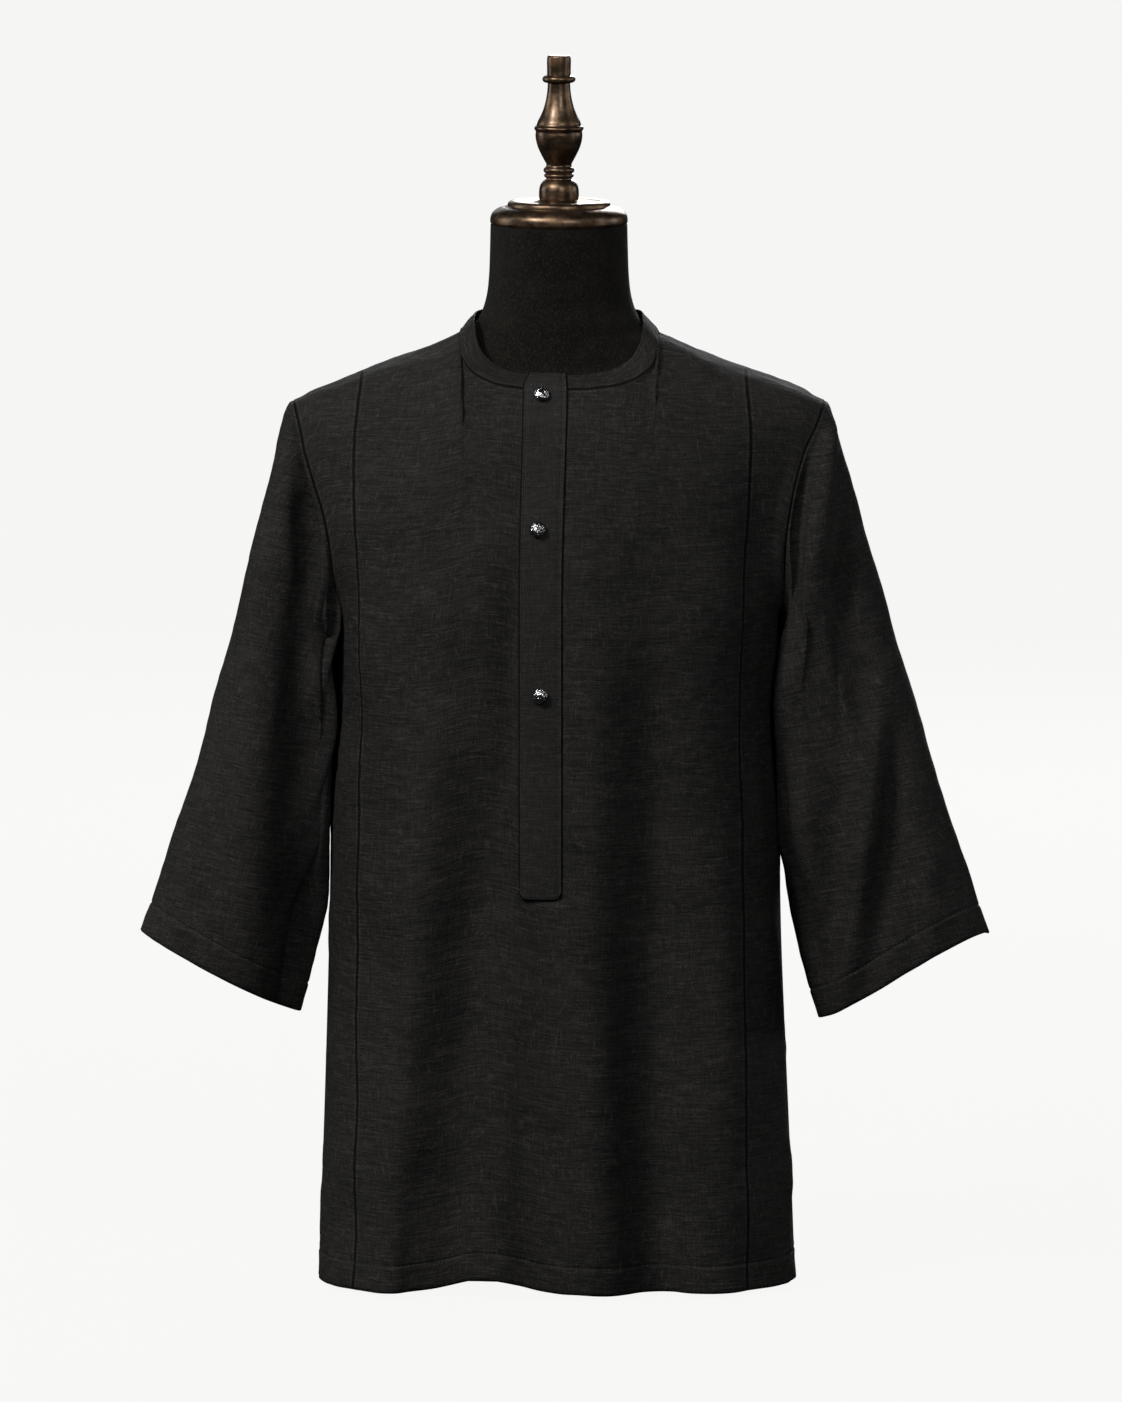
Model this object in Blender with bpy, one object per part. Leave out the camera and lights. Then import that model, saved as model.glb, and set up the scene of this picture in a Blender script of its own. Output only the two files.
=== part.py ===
"""A collarless linen tunic shirt with a half placket, worn by a limbless dress form with a turned finial.

Metres, +Z up, front towards -Y, +X to the viewer's right. The form stands on its flat base at Z = 0.
Each cloth piece is a closed thin wall: a grid of outer points, and the same grid moved in by its thickness.
"""

import math
from collections import namedtuple

import bpy
import numpy as np

MM = 0.001

# Cloth walls and the room between pieces
CLOTH = 1.5 * MM
COLLAR_CLOTH = 1.8 * MM
PLACKET_CLOTH = 2.0 * MM
SEAM_GAP = 0.3 * MM
HALF_GAP = SEAM_GAP / 2

# Main heights of the shirt
HEM = 0.0050
UNDERARM = 0.585
PLACKET_FOOT = 0.3536
NECK_FRONT = 0.7990
FOOT_CORNER = 6.0 * MM
PLACKET_OVER_COLLAR = 1.5 * MM

# Level sections of the body from the hem to the underarm
Section = namedtuple("Section", "height half_width front back shift")
SECTIONS = (
    Section(0.000, 0.2106, 0.1195, 0.1165, -0.0020),
    Section(0.090, 0.2072, 0.1190, 0.1150, -0.0020),
    Section(0.200, 0.2030, 0.1185, 0.1120, -0.0026),
    Section(0.330, 0.1988, 0.1190, 0.1090, -0.0034),
    Section(0.450, 0.1978, 0.1230, 0.1100, -0.0026),
    Section(0.585, 0.1975, 0.1300, 0.1140, 0.0000),
)
SECTION_SQUARENESS = 2.35
HEM_SQUARENESS = 2.9

# Shoulder line, seen from the front
SHOULDER_HALF = 0.2325
SHOULDER_FALL = 0.385
SHOULDER_AT = (0.2174, 0.7892)
SHOULDER_END_DROP = 0.0030
NECK_HALF = 0.0875
NECK_RISE = 0.0205
NECK_RISE_WIDTH = 0.055
NECK_CROWN = 0.021
RIDGE_BACK_AT_NECK = 0.035
NECK_BACK = 0.075
NECK_SQUARENESS = 2.7
SEAM_FORWARD_LEFT = 0.010
SEAM_FORWARD_RIGHT = 0.018
SEAM_FORWARD_ENDS = (0.150, 0.228)

# Roundness of the profile over the shoulder, at the centre and at the armhole
FRONT_ROLL = (2.65, 2.9)
BACK_ROLL = (2.5, 3.0)

# Armhole: half width by share of its height, and how far it reaches forward and back
Armhole = namedtuple("Armhole", "share left right")
ARMHOLE = (
    Armhole(0.000, 0.1975, 0.1975),
    Armhole(0.200, 0.1975, 0.1975),
    Armhole(0.340, 0.2008, 0.1982),
    Armhole(0.485, 0.2065, 0.2022),
    Armhole(0.615, 0.2142, 0.2070),
    Armhole(0.765, 0.2225, 0.2155),
    Armhole(0.880, 0.2268, 0.2248),
    Armhole(1.000, 0.2325, 0.2325),
)
ARMHOLE_FRONT = 0.064
ARMHOLE_BACK = 0.072
ARMHOLE_ROUND = 0.45
CHEST_SQUARENESS = 2.6
CHEST_BLEND = 0.40

# Seams between the centre panel and the side panels, by height
PanelSeam = namedtuple("PanelSeam", "height left right")
PANEL_SEAMS = (
    PanelSeam(0.000, -0.1790, 0.1652),
    PanelSeam(0.330, -0.1765, 0.1612),
    PanelSeam(0.520, -0.1745, 0.1615),
    PanelSeam(0.640, -0.1770, 0.1660),
    PanelSeam(0.740, -0.1790, 0.1680),
    PanelSeam(0.810, -0.1725, 0.1637),
)

# Grid columns from side neck to side neck: where they stand at the hem and at the neckline
NeckColumn = namedtuple("NeckColumn", "low top")
FRONT_NECK = (
    NeckColumn(-0.0875, -0.0875),
    NeckColumn(-0.0790, -0.0872),
    NeckColumn(-0.0680, -0.0860),
    NeckColumn(-0.0570, -0.0775),
    NeckColumn(-0.0455, -0.0580),
    NeckColumn(-0.0345, -0.0310),
    NeckColumn(-0.0160, -0.0120),
    NeckColumn(0.0025, 0.0070),
    NeckColumn(0.0185, 0.0340),
    NeckColumn(0.0345, 0.0590),
    NeckColumn(0.0500, 0.0765),
    NeckColumn(0.0640, 0.0856),
    NeckColumn(0.0765, 0.0871),
    NeckColumn(0.0875, 0.0875),
)
PLACKET_COLUMNS = (5, 6, 7)
BACK_NECK = tuple(
    NeckColumn(low, top)
    for low, top in (
        (-0.0875, -0.0875), (-0.0730, -0.0868), (-0.0585, -0.0832), (-0.0440, -0.0708),
        (-0.0290, -0.0515), (-0.0145, -0.0270), (0.0000, 0.0000), (0.0145, 0.0270),
        (0.0290, 0.0515), (0.0440, 0.0708), (0.0585, 0.0832), (0.0730, 0.0868), (0.0875, 0.0875),
    )
)
NECK_SIDE_DEPTH = 0.004
YOKE_CELLS = 4
SIDE_CELLS = 4

# Grid rows: heights below the underarm, and shares of the way up above it
LOW_ROWS = (0.0, 0.03, 0.08, 0.14, 0.20, 0.26, 0.31, PLACKET_FOOT, 0.40, 0.445, 0.485, 0.52, 0.555, UNDERARM)
HIGH_ROWS = 13
HIGH_ROW_CROWD = 1.5

# Hanging folds of the skirt: where they lie at the hem and where they run out
Fold = namedtuple("Fold", "hem_x top_x top_height rise width")
FRONT_FOLDS = (
    Fold(-0.131, -0.118, 0.30, -0.0075, 0.021),
    Fold(-0.055, -0.045, 0.36, 0.0045, 0.034),
    Fold(0.080, 0.040, 0.50, -0.0070, 0.021),
    Fold(0.126, 0.112, 0.36, 0.0035, 0.022),
    Fold(-0.030, -0.040, 0.62, -0.0030, 0.016),
)
BACK_FOLDS = (
    Fold(-0.105, -0.070, 0.45, -0.0080, 0.026),
    Fold(-0.030, -0.022, 0.36, 0.0050, 0.028),
    Fold(0.045, 0.030, 0.50, -0.0070, 0.024),
    Fold(0.125, 0.100, 0.34, -0.0065, 0.022),
)

# Height of the hem above its general level, along the front and the back
HemWave = namedtuple("HemWave", "x rise width")
FRONT_HEM = (HemWave(-0.064, 0.0135, 0.042), HemWave(0.020, 0.0015, 0.020))
BACK_HEM = (HemWave(0.050, 0.0040, 0.030), HemWave(-0.105, 0.0030, 0.025))
HEM_SIDE_RISE = 0.0010

# Collar band: its upper edge, and how far it climbs at the front, side and back
COLLAR_HALF = 0.0735
COLLAR_FRONT = 0.0712
COLLAR_BACK = 0.066
COLLAR_CLIMB_SIDE = 0.0155
COLLAR_CLIMB_FRONT_LESS = 0.0064
COLLAR_CLIMB_BACK_MORE = 0.0024

# Sleeves: cuff corners as (distance out, height), its depth and place, the pull of the top line at both ends
Sleeve = namedtuple("Sleeve", "side outer inner depth middle top_start top_end front_lift")
SLEEVES = (
    Sleeve(-1, (0.3680, 0.3145), (0.2285, 0.2425), 0.1080, -0.012, (0.038, -0.030), (0.234, -0.630), 0.000),
    Sleeve(1, (0.3785, 0.3110), (0.2289, 0.2366), 0.1120, -0.012, (0.024, -0.030), (0.157, -0.434), 0.015),
)
UNDERARM_START = (0.012, -0.020)
UNDERARM_END = (0.170, -0.450)
SLEEVE_ROOM = 1.5 * MM
SIDE_PULL = (-0.030, -0.160)
SIDE_SPREAD = (-0.050, 0.030)
SLEEVE_ROWS = 18
SLEEVE_ROW_CROWD = 1.25
SIDE_SPREAD_POWER = 0.8
FOLD_START, FOLD_RAMP, FOLD_END_RAMP = 0.05, 0.2, 0.3

# Folds of the sleeve: place round it in degrees from the underarm, front first, at its top and its cuff
SleeveFold = namedtuple("SleeveFold", "top_angle cuff_angle start end rise width")
LEFT_SLEEVE_FOLDS = (
    SleeveFold(128, 48, 0.05, 0.95, -0.0120, 17),
    SleeveFold(96, 30, 0.08, 0.62, 0.0060, 13),
    SleeveFold(300, 315, 0.15, 1.0, -0.0080, 22),
    SleeveFold(180, 180, -0.1, 0.38, 0.0025, 45),
)
RIGHT_SLEEVE_FOLDS = (
    SleeveFold(138, 70, 0.05, 0.80, 0.0060, 14),
    SleeveFold(150, 100, 0.15, 1.0, -0.0070, 15),
    SleeveFold(112, 40, 0.05, 0.70, -0.0090, 16),
    SleeveFold(300, 315, 0.15, 1.0, -0.0080, 22),
    SleeveFold(180, 180, -0.1, 0.38, 0.0025, 45),
)

# Placket buttons: across from the centre, and height
BUTTONS = ((-0.0150, 0.7941), (-0.0184, 0.6793), (-0.0161, 0.5337))
BUTTON_RADIUS = 6.8 * MM
BUTTON_HEIGHT = 6.0 * MM
BUTTON_GAP = 0.66 * MM
BUTTON_SIDES = 12
# (share of the radius, share of the height)
BUTTON_PROFILE = (
    (0.38, 0.0), (0.38, 0.20), (0.86, 0.24), (1.0, 0.40), (0.94, 0.62), (0.74, 0.84), (0.40, 0.97),
)

# Dress form: level sections, with the shoulder ends squeezed narrow
FormRing = namedtuple("FormRing", "height half_width front back middle squareness")
FORM_LOW = (
    FormRing(0.000, 0.138, 0.013, 0.090, 0.000, 2.2),
    FormRing(0.0045, 0.147, 0.041, 0.094, 0.000, 2.2),
    FormRing(0.0110, 0.155, 0.072, 0.097, 0.000, 2.2),
    FormRing(0.0250, 0.160, 0.084, 0.100, 0.000, 2.2),
    FormRing(0.120, 0.163, 0.088, 0.102, 0.000, 2.2),
    FormRing(0.230, 0.162, 0.090, 0.101, 0.000, 2.2),
    FormRing(0.340, 0.148, 0.088, 0.092, 0.000, 2.2),
    FormRing(0.420, 0.141, 0.090, 0.085, 0.000, 2.2),
    FormRing(0.520, 0.156, 0.101, 0.093, 0.000, 2.2),
    FormRing(0.610, 0.170, 0.110, 0.100, 0.000, 2.2),
    FormRing(0.680, 0.180, 0.110, 0.100, 0.000, 2.1),
    FormRing(0.730, 0.192, 0.104, 0.094, 0.000, 1.95),
    FormRing(0.765, 0.200, 0.096, 0.086, 0.001, 1.75),
    FormRing(0.785, 0.204, 0.089, 0.080, 0.002, 1.60),
)
FORM_SHOULDER_ROWS = (0.7945, 0.803, 0.813, 0.824, 0.834)
FORM_SHOULDER_FRONTS = (0.0780, 0.0695, 0.0640, 0.0620, 0.0610)
FORM_SHOULDER_BACKS = (0.078, 0.075, 0.072, 0.069, 0.067)
FORM_SHOULDER_SQUARENESS = (1.55, 1.55, 1.60, 1.70, 1.80)
FORM_NECK = (
    FormRing(0.8420, 0.0800, 0.0602, 0.0640, 0.0, 1.9),
    FormRing(0.8500, 0.0725, 0.0596, 0.0622, 0.0, 2.0),
    FormRing(0.8610, 0.0668, 0.0590, 0.0612, 0.0, 2.0),
    FormRing(0.8740, 0.0632, 0.0585, 0.0608, 0.0, 2.0),
    FormRing(0.8900, 0.0614, 0.0580, 0.0605, 0.0, 2.0),
    FormRing(0.9100, 0.0606, 0.0580, 0.0600, 0.0, 2.0),
    FormRing(0.9352, 0.0600, 0.0580, 0.0600, 0.0, 2.0),
)
FORM_SIDES = 28
FORM_CLEARANCE = 1.2 * MM
NECK_MIDDLE = 0.001

# Turned pieces: (radius, height above the piece's foot)
CAP_FOOT = 0.9355
CAP_PROFILE = (
    (0.0592, 0.0), (0.0601, 0.0015), (0.0603, 0.0040), (0.0597, 0.0075), (0.0575, 0.0110),
    (0.0536, 0.0142), (0.0488, 0.0160), (0.0458, 0.0166), (0.0446, 0.0178), (0.0432, 0.0198),
    (0.0408, 0.0212),
)
FINIAL_FOOT = CAP_FOOT + 0.0212 + SEAM_GAP
FINIAL_PROFILE = (
    (0.0173, 0.0), (0.0175, 0.0060), (0.0172, 0.0110), (0.0150, 0.0150), (0.0120, 0.0178),
    (0.0107, 0.0192), (0.0124, 0.0202), (0.0126, 0.0222), (0.0118, 0.0236), (0.0131, 0.0250),
    (0.0133, 0.0270), (0.0116, 0.0295), (0.0112, 0.0313), (0.0140, 0.0366), (0.0167, 0.0419),
    (0.0189, 0.0472), (0.0202, 0.0525), (0.0204, 0.0578), (0.0203, 0.0605), (0.0213, 0.0616),
    (0.0216, 0.0630), (0.0208, 0.0645), (0.0187, 0.0684), (0.0160, 0.0737), (0.0141, 0.0789),
    (0.0124, 0.0842), (0.0106, 0.0948), (0.0097, 0.1010), (0.0099, 0.1022), (0.0131, 0.1032),
    (0.0145, 0.1048), (0.0145, 0.1066), (0.0131, 0.1082), (0.0104, 0.1090), (0.0104, 0.1215),
    (0.0085, 0.1258), (0.0060, 0.1272),
)
TURNED_SIDES = 22


def smooth(low, high, value):
    share = min(1.0, max(0.0, (value - low) / (high - low)))
    return share * share * (3.0 - 2.0 * share)


def mix(a, b, share):
    return a + (b - a) * share


def read(table, column, at):
    """The named column's value at a place along the first column, on a smooth curve through the rows."""
    places = [row[0] for row in table]
    values = [getattr(row, column) for row in table]
    if at <= places[0]:
        return values[0]
    if at >= places[-1]:
        return values[-1]
    i = max(k for k in range(len(places) - 1) if places[k] <= at)
    step = places[i + 1] - places[i]
    t = (at - places[i]) / step

    def slope(k):
        low, high = max(k - 1, 0), min(k + 1, len(places) - 1)
        return (values[high] - values[low]) / (places[high] - places[low])

    return (
        values[i] * (2 * t**3 - 3 * t**2 + 1)
        + slope(i) * step * (t**3 - 2 * t**2 + t)
        + values[i + 1] * (3 * t**2 - 2 * t**3)
        + slope(i + 1) * step * (t**3 - t**2)
    )


def bump(distance, width):
    return math.exp(-((distance / width) ** 2))


# The shoulder line and the roll over it


def ridge_height(x):
    """Height of the shoulder line. Inside the neck it runs on as a low arch, a guide for the neckline."""
    x = abs(x)
    if x < NECK_HALF:
        return ridge_height(NECK_HALF) + NECK_CROWN * (1.0 - (x / NECK_HALF) ** 2)
    line = SHOULDER_AT[1] + SHOULDER_FALL * (SHOULDER_AT[0] - x)
    end_drop = SHOULDER_END_DROP * smooth(SHOULDER_AT[0] - 0.003, SHOULDER_HALF, x)
    return line + NECK_RISE * bump(x, NECK_RISE_WIDTH) - end_drop


def ridge_depth(x):
    return RIDGE_BACK_AT_NECK * math.cos(math.pi / 2 * min(1.0, abs(x) / NECK_HALF)) ** 2


def roundness(x, side):
    centre, end = FRONT_ROLL if side == "front" else BACK_ROLL
    return mix(centre, end, min(1.0, abs(x) / SHOULDER_HALF))


def seam_forward(x):
    forward = SEAM_FORWARD_LEFT if x < 0 else SEAM_FORWARD_RIGHT
    return forward * (1.0 - smooth(*SEAM_FORWARD_ENDS, abs(x)))


def armhole_half(share, x):
    return read(ARMHOLE, "left" if x < 0 else "right", share)


def side_curve(share_across, squareness):
    return max(0.0, 1.0 - min(1.0, abs(share_across)) ** squareness) ** (1.0 / squareness)


def upper_depth(x, share, side):
    """How far the cloth stands from the ridge line above the underarm, before the roll over the shoulder."""
    across = min(1.0, abs(x) / armhole_half(share, x))
    reach = ARMHOLE_FRONT if side == "front" else ARMHOLE_BACK
    edge = reach * math.sqrt(1.0 - (1.0 - min(1.0, share / ARMHOLE_ROUND)) ** 2)
    middle = SECTIONS[-1].front if side == "front" else SECTIONS[-1].back
    low, high = side_curve(across, SECTION_SQUARENESS), 1.0 - across**CHEST_SQUARENESS
    return mix(edge, middle, mix(low, high, smooth(0.0, CHEST_BLEND, share)))


def upper_y(x, share, side):
    """Depth of the cloth at a share of the way from the underarm level to the ridge line."""
    power = roundness(x, side)
    roll = max(0.0, 1.0 - min(1.0, share) ** power) ** (1.0 / power)
    ridge = ridge_depth(x)
    if side == "front":
        return ridge - (upper_depth(x, share, side) + ridge) * roll
    return ridge + (upper_depth(x, share, side) - ridge) * roll


def section_squareness(height):
    return mix(HEM_SQUARENESS, SECTION_SQUARENESS, smooth(0.0, 0.40, height))


def lower_y(x, height, side):
    """Depth of the hanging body at a height below the underarm, folds included."""
    half = read(SECTIONS, "half_width", height)
    across = (x - read(SECTIONS, "shift", height)) / half
    depth = read(SECTIONS, side, height) * side_curve(across, section_squareness(height))
    edge_fade = 1.0 - smooth(0.86, 1.0, abs(across))
    for fold in FRONT_FOLDS if side == "front" else BACK_FOLDS:
        up = min(1.0, height / fold.top_height)
        place = mix(fold.hem_x, fold.top_x, up)
        depth += fold.rise * (1.0 - smooth(0.0, 1.0, up)) * bump(x - place, fold.width) * edge_fade
    return -depth if side == "front" else depth


def hem_height(x, side):
    waves = FRONT_HEM if side == "front" else BACK_HEM
    rise = HEM_SIDE_RISE * smooth(0.14, 0.21, abs(x))
    return HEM + rise + sum(wave.rise * bump(x - wave.x, wave.width) for wave in waves)


# Columns and rows of the body's grid


def neckline_front(x, side_height):
    across = min(1.0, abs(x) / NECK_HALF)
    return side_height - (side_height - NECK_FRONT) * side_curve(across, NECK_SQUARENESS)


def angle_of_share(share, power):
    return math.asin(min(1.0, share) ** (power / 2.0))


def share_of(x, height):
    return (height - UNDERARM) / (ridge_height(x) - UNDERARM)


def share_at_depth(x, y, side):
    """Share of the height at which the profile at x reaches depth y, by halving."""
    low, high = 0.3, 1.0
    for _ in range(40):
        middle = (low + high) / 2
        outside = upper_y(x, middle, side) < y if side == "front" else upper_y(x, middle, side) > y
        low, high = (middle, high) if outside else (low, middle)
    return (low + high) / 2


def top_angle(x, kind, side):
    """Angle over the shoulder at which a column ends. 90 degrees is the ridge."""
    power = roundness(x, "front")
    if kind == "front_neck" and abs(x) < NECK_HALF - MM / 10:
        edge_share = share_at_depth(math.copysign(NECK_HALF, x), -seam_forward(x), "front")
        side_height = UNDERARM + edge_share * (ridge_height(NECK_HALF) - UNDERARM)
        return angle_of_share(share_of(x, neckline_front(x, side_height)), power)
    if kind == "back_neck" and abs(x) < 0.085:
        y = NECK_BACK * math.sqrt(1.0 - (x / NECK_HALF) ** 2)
        share = share_at_depth(x, y, "back")
        return math.pi - angle_of_share(share, roundness(x, "back"))
    if kind == "back_neck" and abs(x) < NECK_HALF - MM / 10:
        share = share_at_depth(x, NECK_SIDE_DEPTH, "back")
        return math.pi - angle_of_share(share, roundness(x, "back"))
    forward = seam_forward(x)
    if forward < MM / 10:
        return math.pi / 2
    return angle_of_share(share_at_depth(x, -forward, "front"), power)


Column = namedtuple("Column", "kind low top place")


def columns_of(side):
    """The columns of the front or the back, from the left edge to the right edge."""
    neck = FRONT_NECK if side == "front" else BACK_NECK
    middle = [Column(side + "_neck", c.low, c.top, None) for c in neck]
    yoke = [Column("yoke", None, None, k / YOKE_CELLS) for k in range(1, YOKE_CELLS + 1)]
    edge = [Column("edge", None, None, k / SIDE_CELLS) for k in range(1, SIDE_CELLS + 1)]
    right = yoke + edge
    left = [Column(c.kind, None, None, -c.place) for c in reversed(right)]
    return left + middle + right


def column_x(column, height, half, shift, climb):
    """Where a column stands at a height. half is the body's half width there, climb the share up the yoke."""
    if column.place is None:
        return mix(column.low, column.top, smooth(0.0, 1.0, climb))
    sign = math.copysign(1.0, column.place)
    place = abs(column.place)
    edge = shift + sign * half
    seam = read(PANEL_SEAMS, "right" if sign > 0 else "left", height)
    if column.kind == "yoke":
        return mix(sign * NECK_HALF, seam, place)
    return edge - (edge - seam) * (1.0 - place) ** 2


def low_point(column, height, side, drop_to_hem):
    """A point below the underarm. drop_to_hem is 1 at the hem row and 0 from the next few rows up."""
    half, shift = (read(SECTIONS, name, height) for name in ("half_width", "shift"))
    x = column_x(column, height, half, shift, 0.0)
    z = height + hem_height(x, side) * drop_to_hem
    return np.array((x, lower_y(x, height, side), z))


def high_point(column, climb, side):
    """A point above the underarm, a share of the column's own way up over the shoulder."""
    start = 0.0 if side == "front" else math.pi
    x = column_x(column, UNDERARM, SECTIONS[-1].half_width, 0.0, 0.0)
    share = 0.0
    for _ in range(6):
        half = armhole_half(share, x)
        height = UNDERARM + share * (ridge_height(x) - UNDERARM)
        x = column_x(column, height, half, 0.0, climb)
        end_x = column_x(column, 0.81, SHOULDER_HALF, 0.0, 1.0)
        angle = mix(start, top_angle(end_x, column.kind, side), climb)
        face = "front" if angle <= math.pi / 2 else "back"
        share = math.sin(angle) ** (2.0 / roundness(x, face))
    if column.kind == "edge" and abs(column.place) == 1.0:
        x = math.copysign(armhole_half(share, x), column.place)
    return np.array((x, upper_y(x, share, face), UNDERARM + share * (ridge_height(x) - UNDERARM)))


def body_grid(side):
    """Rows from the hem up, each a list of points from the left edge to the right edge."""
    columns = columns_of(side)
    rows = []
    for k, height in enumerate(LOW_ROWS):
        fade = 1.0 - smooth(0.0, 0.26, height)
        rows.append([low_point(c, height, side, fade) for c in columns])
    for k in range(1, HIGH_ROWS + 1):
        climb = (k / HIGH_ROWS) ** HIGH_ROW_CROWD
        rows.append([high_point(c, climb, side) for c in columns])
    return np.array(rows)


# Walls


def unit(vectors):
    return vectors / np.maximum(np.linalg.norm(vectors, axis=-1, keepdims=True), 1e-12)


def grid_normals(grid, outward, round_it=False):
    """Unit normals of a grid of points, pointing the way of outward(point)."""
    if round_it:
        across = np.roll(grid, -1, axis=1) - np.roll(grid, 1, axis=1)
    else:
        across = np.gradient(grid, axis=1)
    normals = unit(np.cross(across, np.gradient(grid, axis=0)))
    way = np.sum(normals * outward, axis=-1).mean()
    return normals if way > 0 else -normals


def pulled(grid, edges, distance):
    """The grid with the named edges moved inwards along the cloth."""
    out = grid.copy()
    ends = {"bottom": (0, 1, 0), "top": (-1, -2, 0), "left": (0, 1, 1), "right": (-1, -2, 1)}
    for edge in edges:
        first, second, axis = ends[edge]
        here, inside = np.take(grid, first, axis), np.take(grid, second, axis)
        moved = here + unit(inside - here) * distance
        if axis == 0:
            out[first] = out[first] + moved - here
        else:
            out[:, first] = out[:, first] + moved - here
    return out


def signed_volume(points, faces):
    total = 0.0
    for face in faces:
        a = points[face[0]]
        for b, c in zip(face[1:-1], face[2:]):
            total += np.dot(a, np.cross(points[b], points[c]))
    return total / 6.0


def make_object(name, points, faces, material, smooth_angle=40.0):
    points = [np.asarray(p, float) for p in points]
    if signed_volume(points, faces) < 0:
        faces = [tuple(reversed(face)) for face in faces]
    mesh = bpy.data.meshes.new(name)
    mesh.from_pydata([tuple(p) for p in points], [], faces)
    mesh.validate()
    mesh.shade_smooth()
    mesh.set_sharp_from_angle(angle=math.radians(smooth_angle))
    mesh.materials.append(material)
    made = bpy.data.objects.new(name, mesh)
    bpy.context.scene.collection.objects.link(made)
    return made


def make_wall(name, outer, inner, material, round_it=False):
    """A closed wall between two grids of the same size. round_it closes each row into a ring."""
    rows, columns = outer.shape[:2]
    count = rows * columns
    points = list(outer.reshape(-1, 3)) + list(inner.reshape(-1, 3))
    cells = columns if round_it else columns - 1

    def at(row, column, layer):
        return layer * count + row * columns + column % columns

    faces = []
    for r in range(rows - 1):
        for c in range(cells):
            faces.append((at(r, c, 0), at(r, c + 1, 0), at(r + 1, c + 1, 0), at(r + 1, c, 0)))
            faces.append((at(r, c, 1), at(r + 1, c, 1), at(r + 1, c + 1, 1), at(r, c + 1, 1)))
    for c in range(cells):
        faces.append((at(0, c, 0), at(0, c, 1), at(0, c + 1, 1), at(0, c + 1, 0)))
        last = rows - 1
        faces.append((at(last, c, 0), at(last, c + 1, 0), at(last, c + 1, 1), at(last, c, 1)))
    if not round_it:
        for r in range(rows - 1):
            faces.append((at(r, 0, 0), at(r + 1, 0, 0), at(r + 1, 0, 1), at(r, 0, 1)))
            last = columns - 1
            faces.append((at(r, last, 0), at(r, last, 1), at(r + 1, last, 1), at(r + 1, last, 0)))
    return make_object(name, points, faces, material)


def cloth_panel(name, grid, normals, edges, material):
    outer = pulled(grid, edges, HALF_GAP)
    return make_wall(name, outer, outer - normals * CLOTH, material)


# The shirt


def body_normals(grid, side):
    facing = np.array((0.0, -1.0, 0.3) if side == "front" else (0.0, 1.0, 0.3))
    normals = grid_normals(grid, facing)
    for row in range(len(LOW_ROWS)):
        normals[row, 0] = (-1.0, 0.0, 0.0)
        normals[row, -1] = (1.0, 0.0, 0.0)
    return normals


def neck_ring(front, back):
    """The neckline from the middle of the placket, round the right side and the back, to the placket."""
    yoke = YOKE_CELLS + SIDE_CELLS
    front_neck = front[-1, yoke : yoke + len(FRONT_NECK)]
    back_neck = back[-1, yoke : yoke + len(BACK_NECK)]
    start = PLACKET_COLUMNS[1]
    return np.concatenate([front_neck[start:], back_neck[::-1][1:-1], front_neck[: start + 1]])


def collar_top(point):
    """The collar's upper edge above a point of the neckline."""
    x, y, z = point
    forward = max(0.0, -y / abs(upper_front_depth()))
    backward = max(0.0, y / NECK_BACK)
    scale = mix(1.0, COLLAR_FRONT / upper_front_depth(), forward)
    scale *= mix(1.0, COLLAR_BACK / NECK_BACK, backward)
    climb = COLLAR_CLIMB_SIDE - COLLAR_CLIMB_FRONT_LESS * forward**2 + COLLAR_CLIMB_BACK_MORE * backward
    return np.array((x * COLLAR_HALF / NECK_HALF, y * scale, z + climb))


def upper_front_depth():
    return -upper_y(0.0, share_of(0.0, NECK_FRONT), "front")


def collar_grid(ring):
    tops = np.array([collar_top(p) for p in ring])
    middle = ring + (tops - ring) * 0.5
    return np.array([ring, middle, tops])


def collar_normals(grid):
    return grid_normals(grid, unit(grid * (1.0, 1.0, 0.0) + (0.0, 0.0, 0.02)))


def sleeve_loop(front, back, side):
    """The armhole from the underarm up the front, over the shoulder and down the back, on one side."""
    start = len(LOW_ROWS) - 1
    column = 0 if side < 0 else -1
    up, down = front[start:, column], back[start:, column][::-1]
    return np.concatenate([up, down[1:-1]])


def loop_angles(loop):
    """Angle of each point round the sleeve: 0 at the underarm, 180 at the shoulder point."""
    steps = np.linalg.norm(np.roll(loop, -1, axis=0) - loop, axis=1)
    run = np.concatenate([[0.0], np.cumsum(steps)])
    top = HIGH_ROWS
    front = run[: top + 1] / run[top] * 180.0
    back = 180.0 + (run[top + 1 : -1] - run[top]) / (run[-1] - run[top]) * 180.0
    return np.concatenate([front, back])


def cuff_point(sleeve, angle):
    outer, inner = np.array(sleeve.outer), np.array(sleeve.inner)
    middle, half = (outer + inner) / 2, (outer - inner) / 2
    turn = math.radians(angle)
    out, up = middle - half * math.cos(turn)
    up += sleeve.front_lift * max(0.0, math.sin(turn)) * (0.5 - 0.5 * math.cos(turn))
    return np.array((out, sleeve.middle - sleeve.depth / 2 * math.sin(turn), up))


def hermite(start, start_way, end, end_way, t):
    return (
        start * (2 * t**3 - 3 * t**2 + 1)
        + start_way * (t**3 - 2 * t**2 + t)
        + end * (3 * t**2 - 2 * t**3)
        + end_way * (t**3 - t**2)
    )


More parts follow.
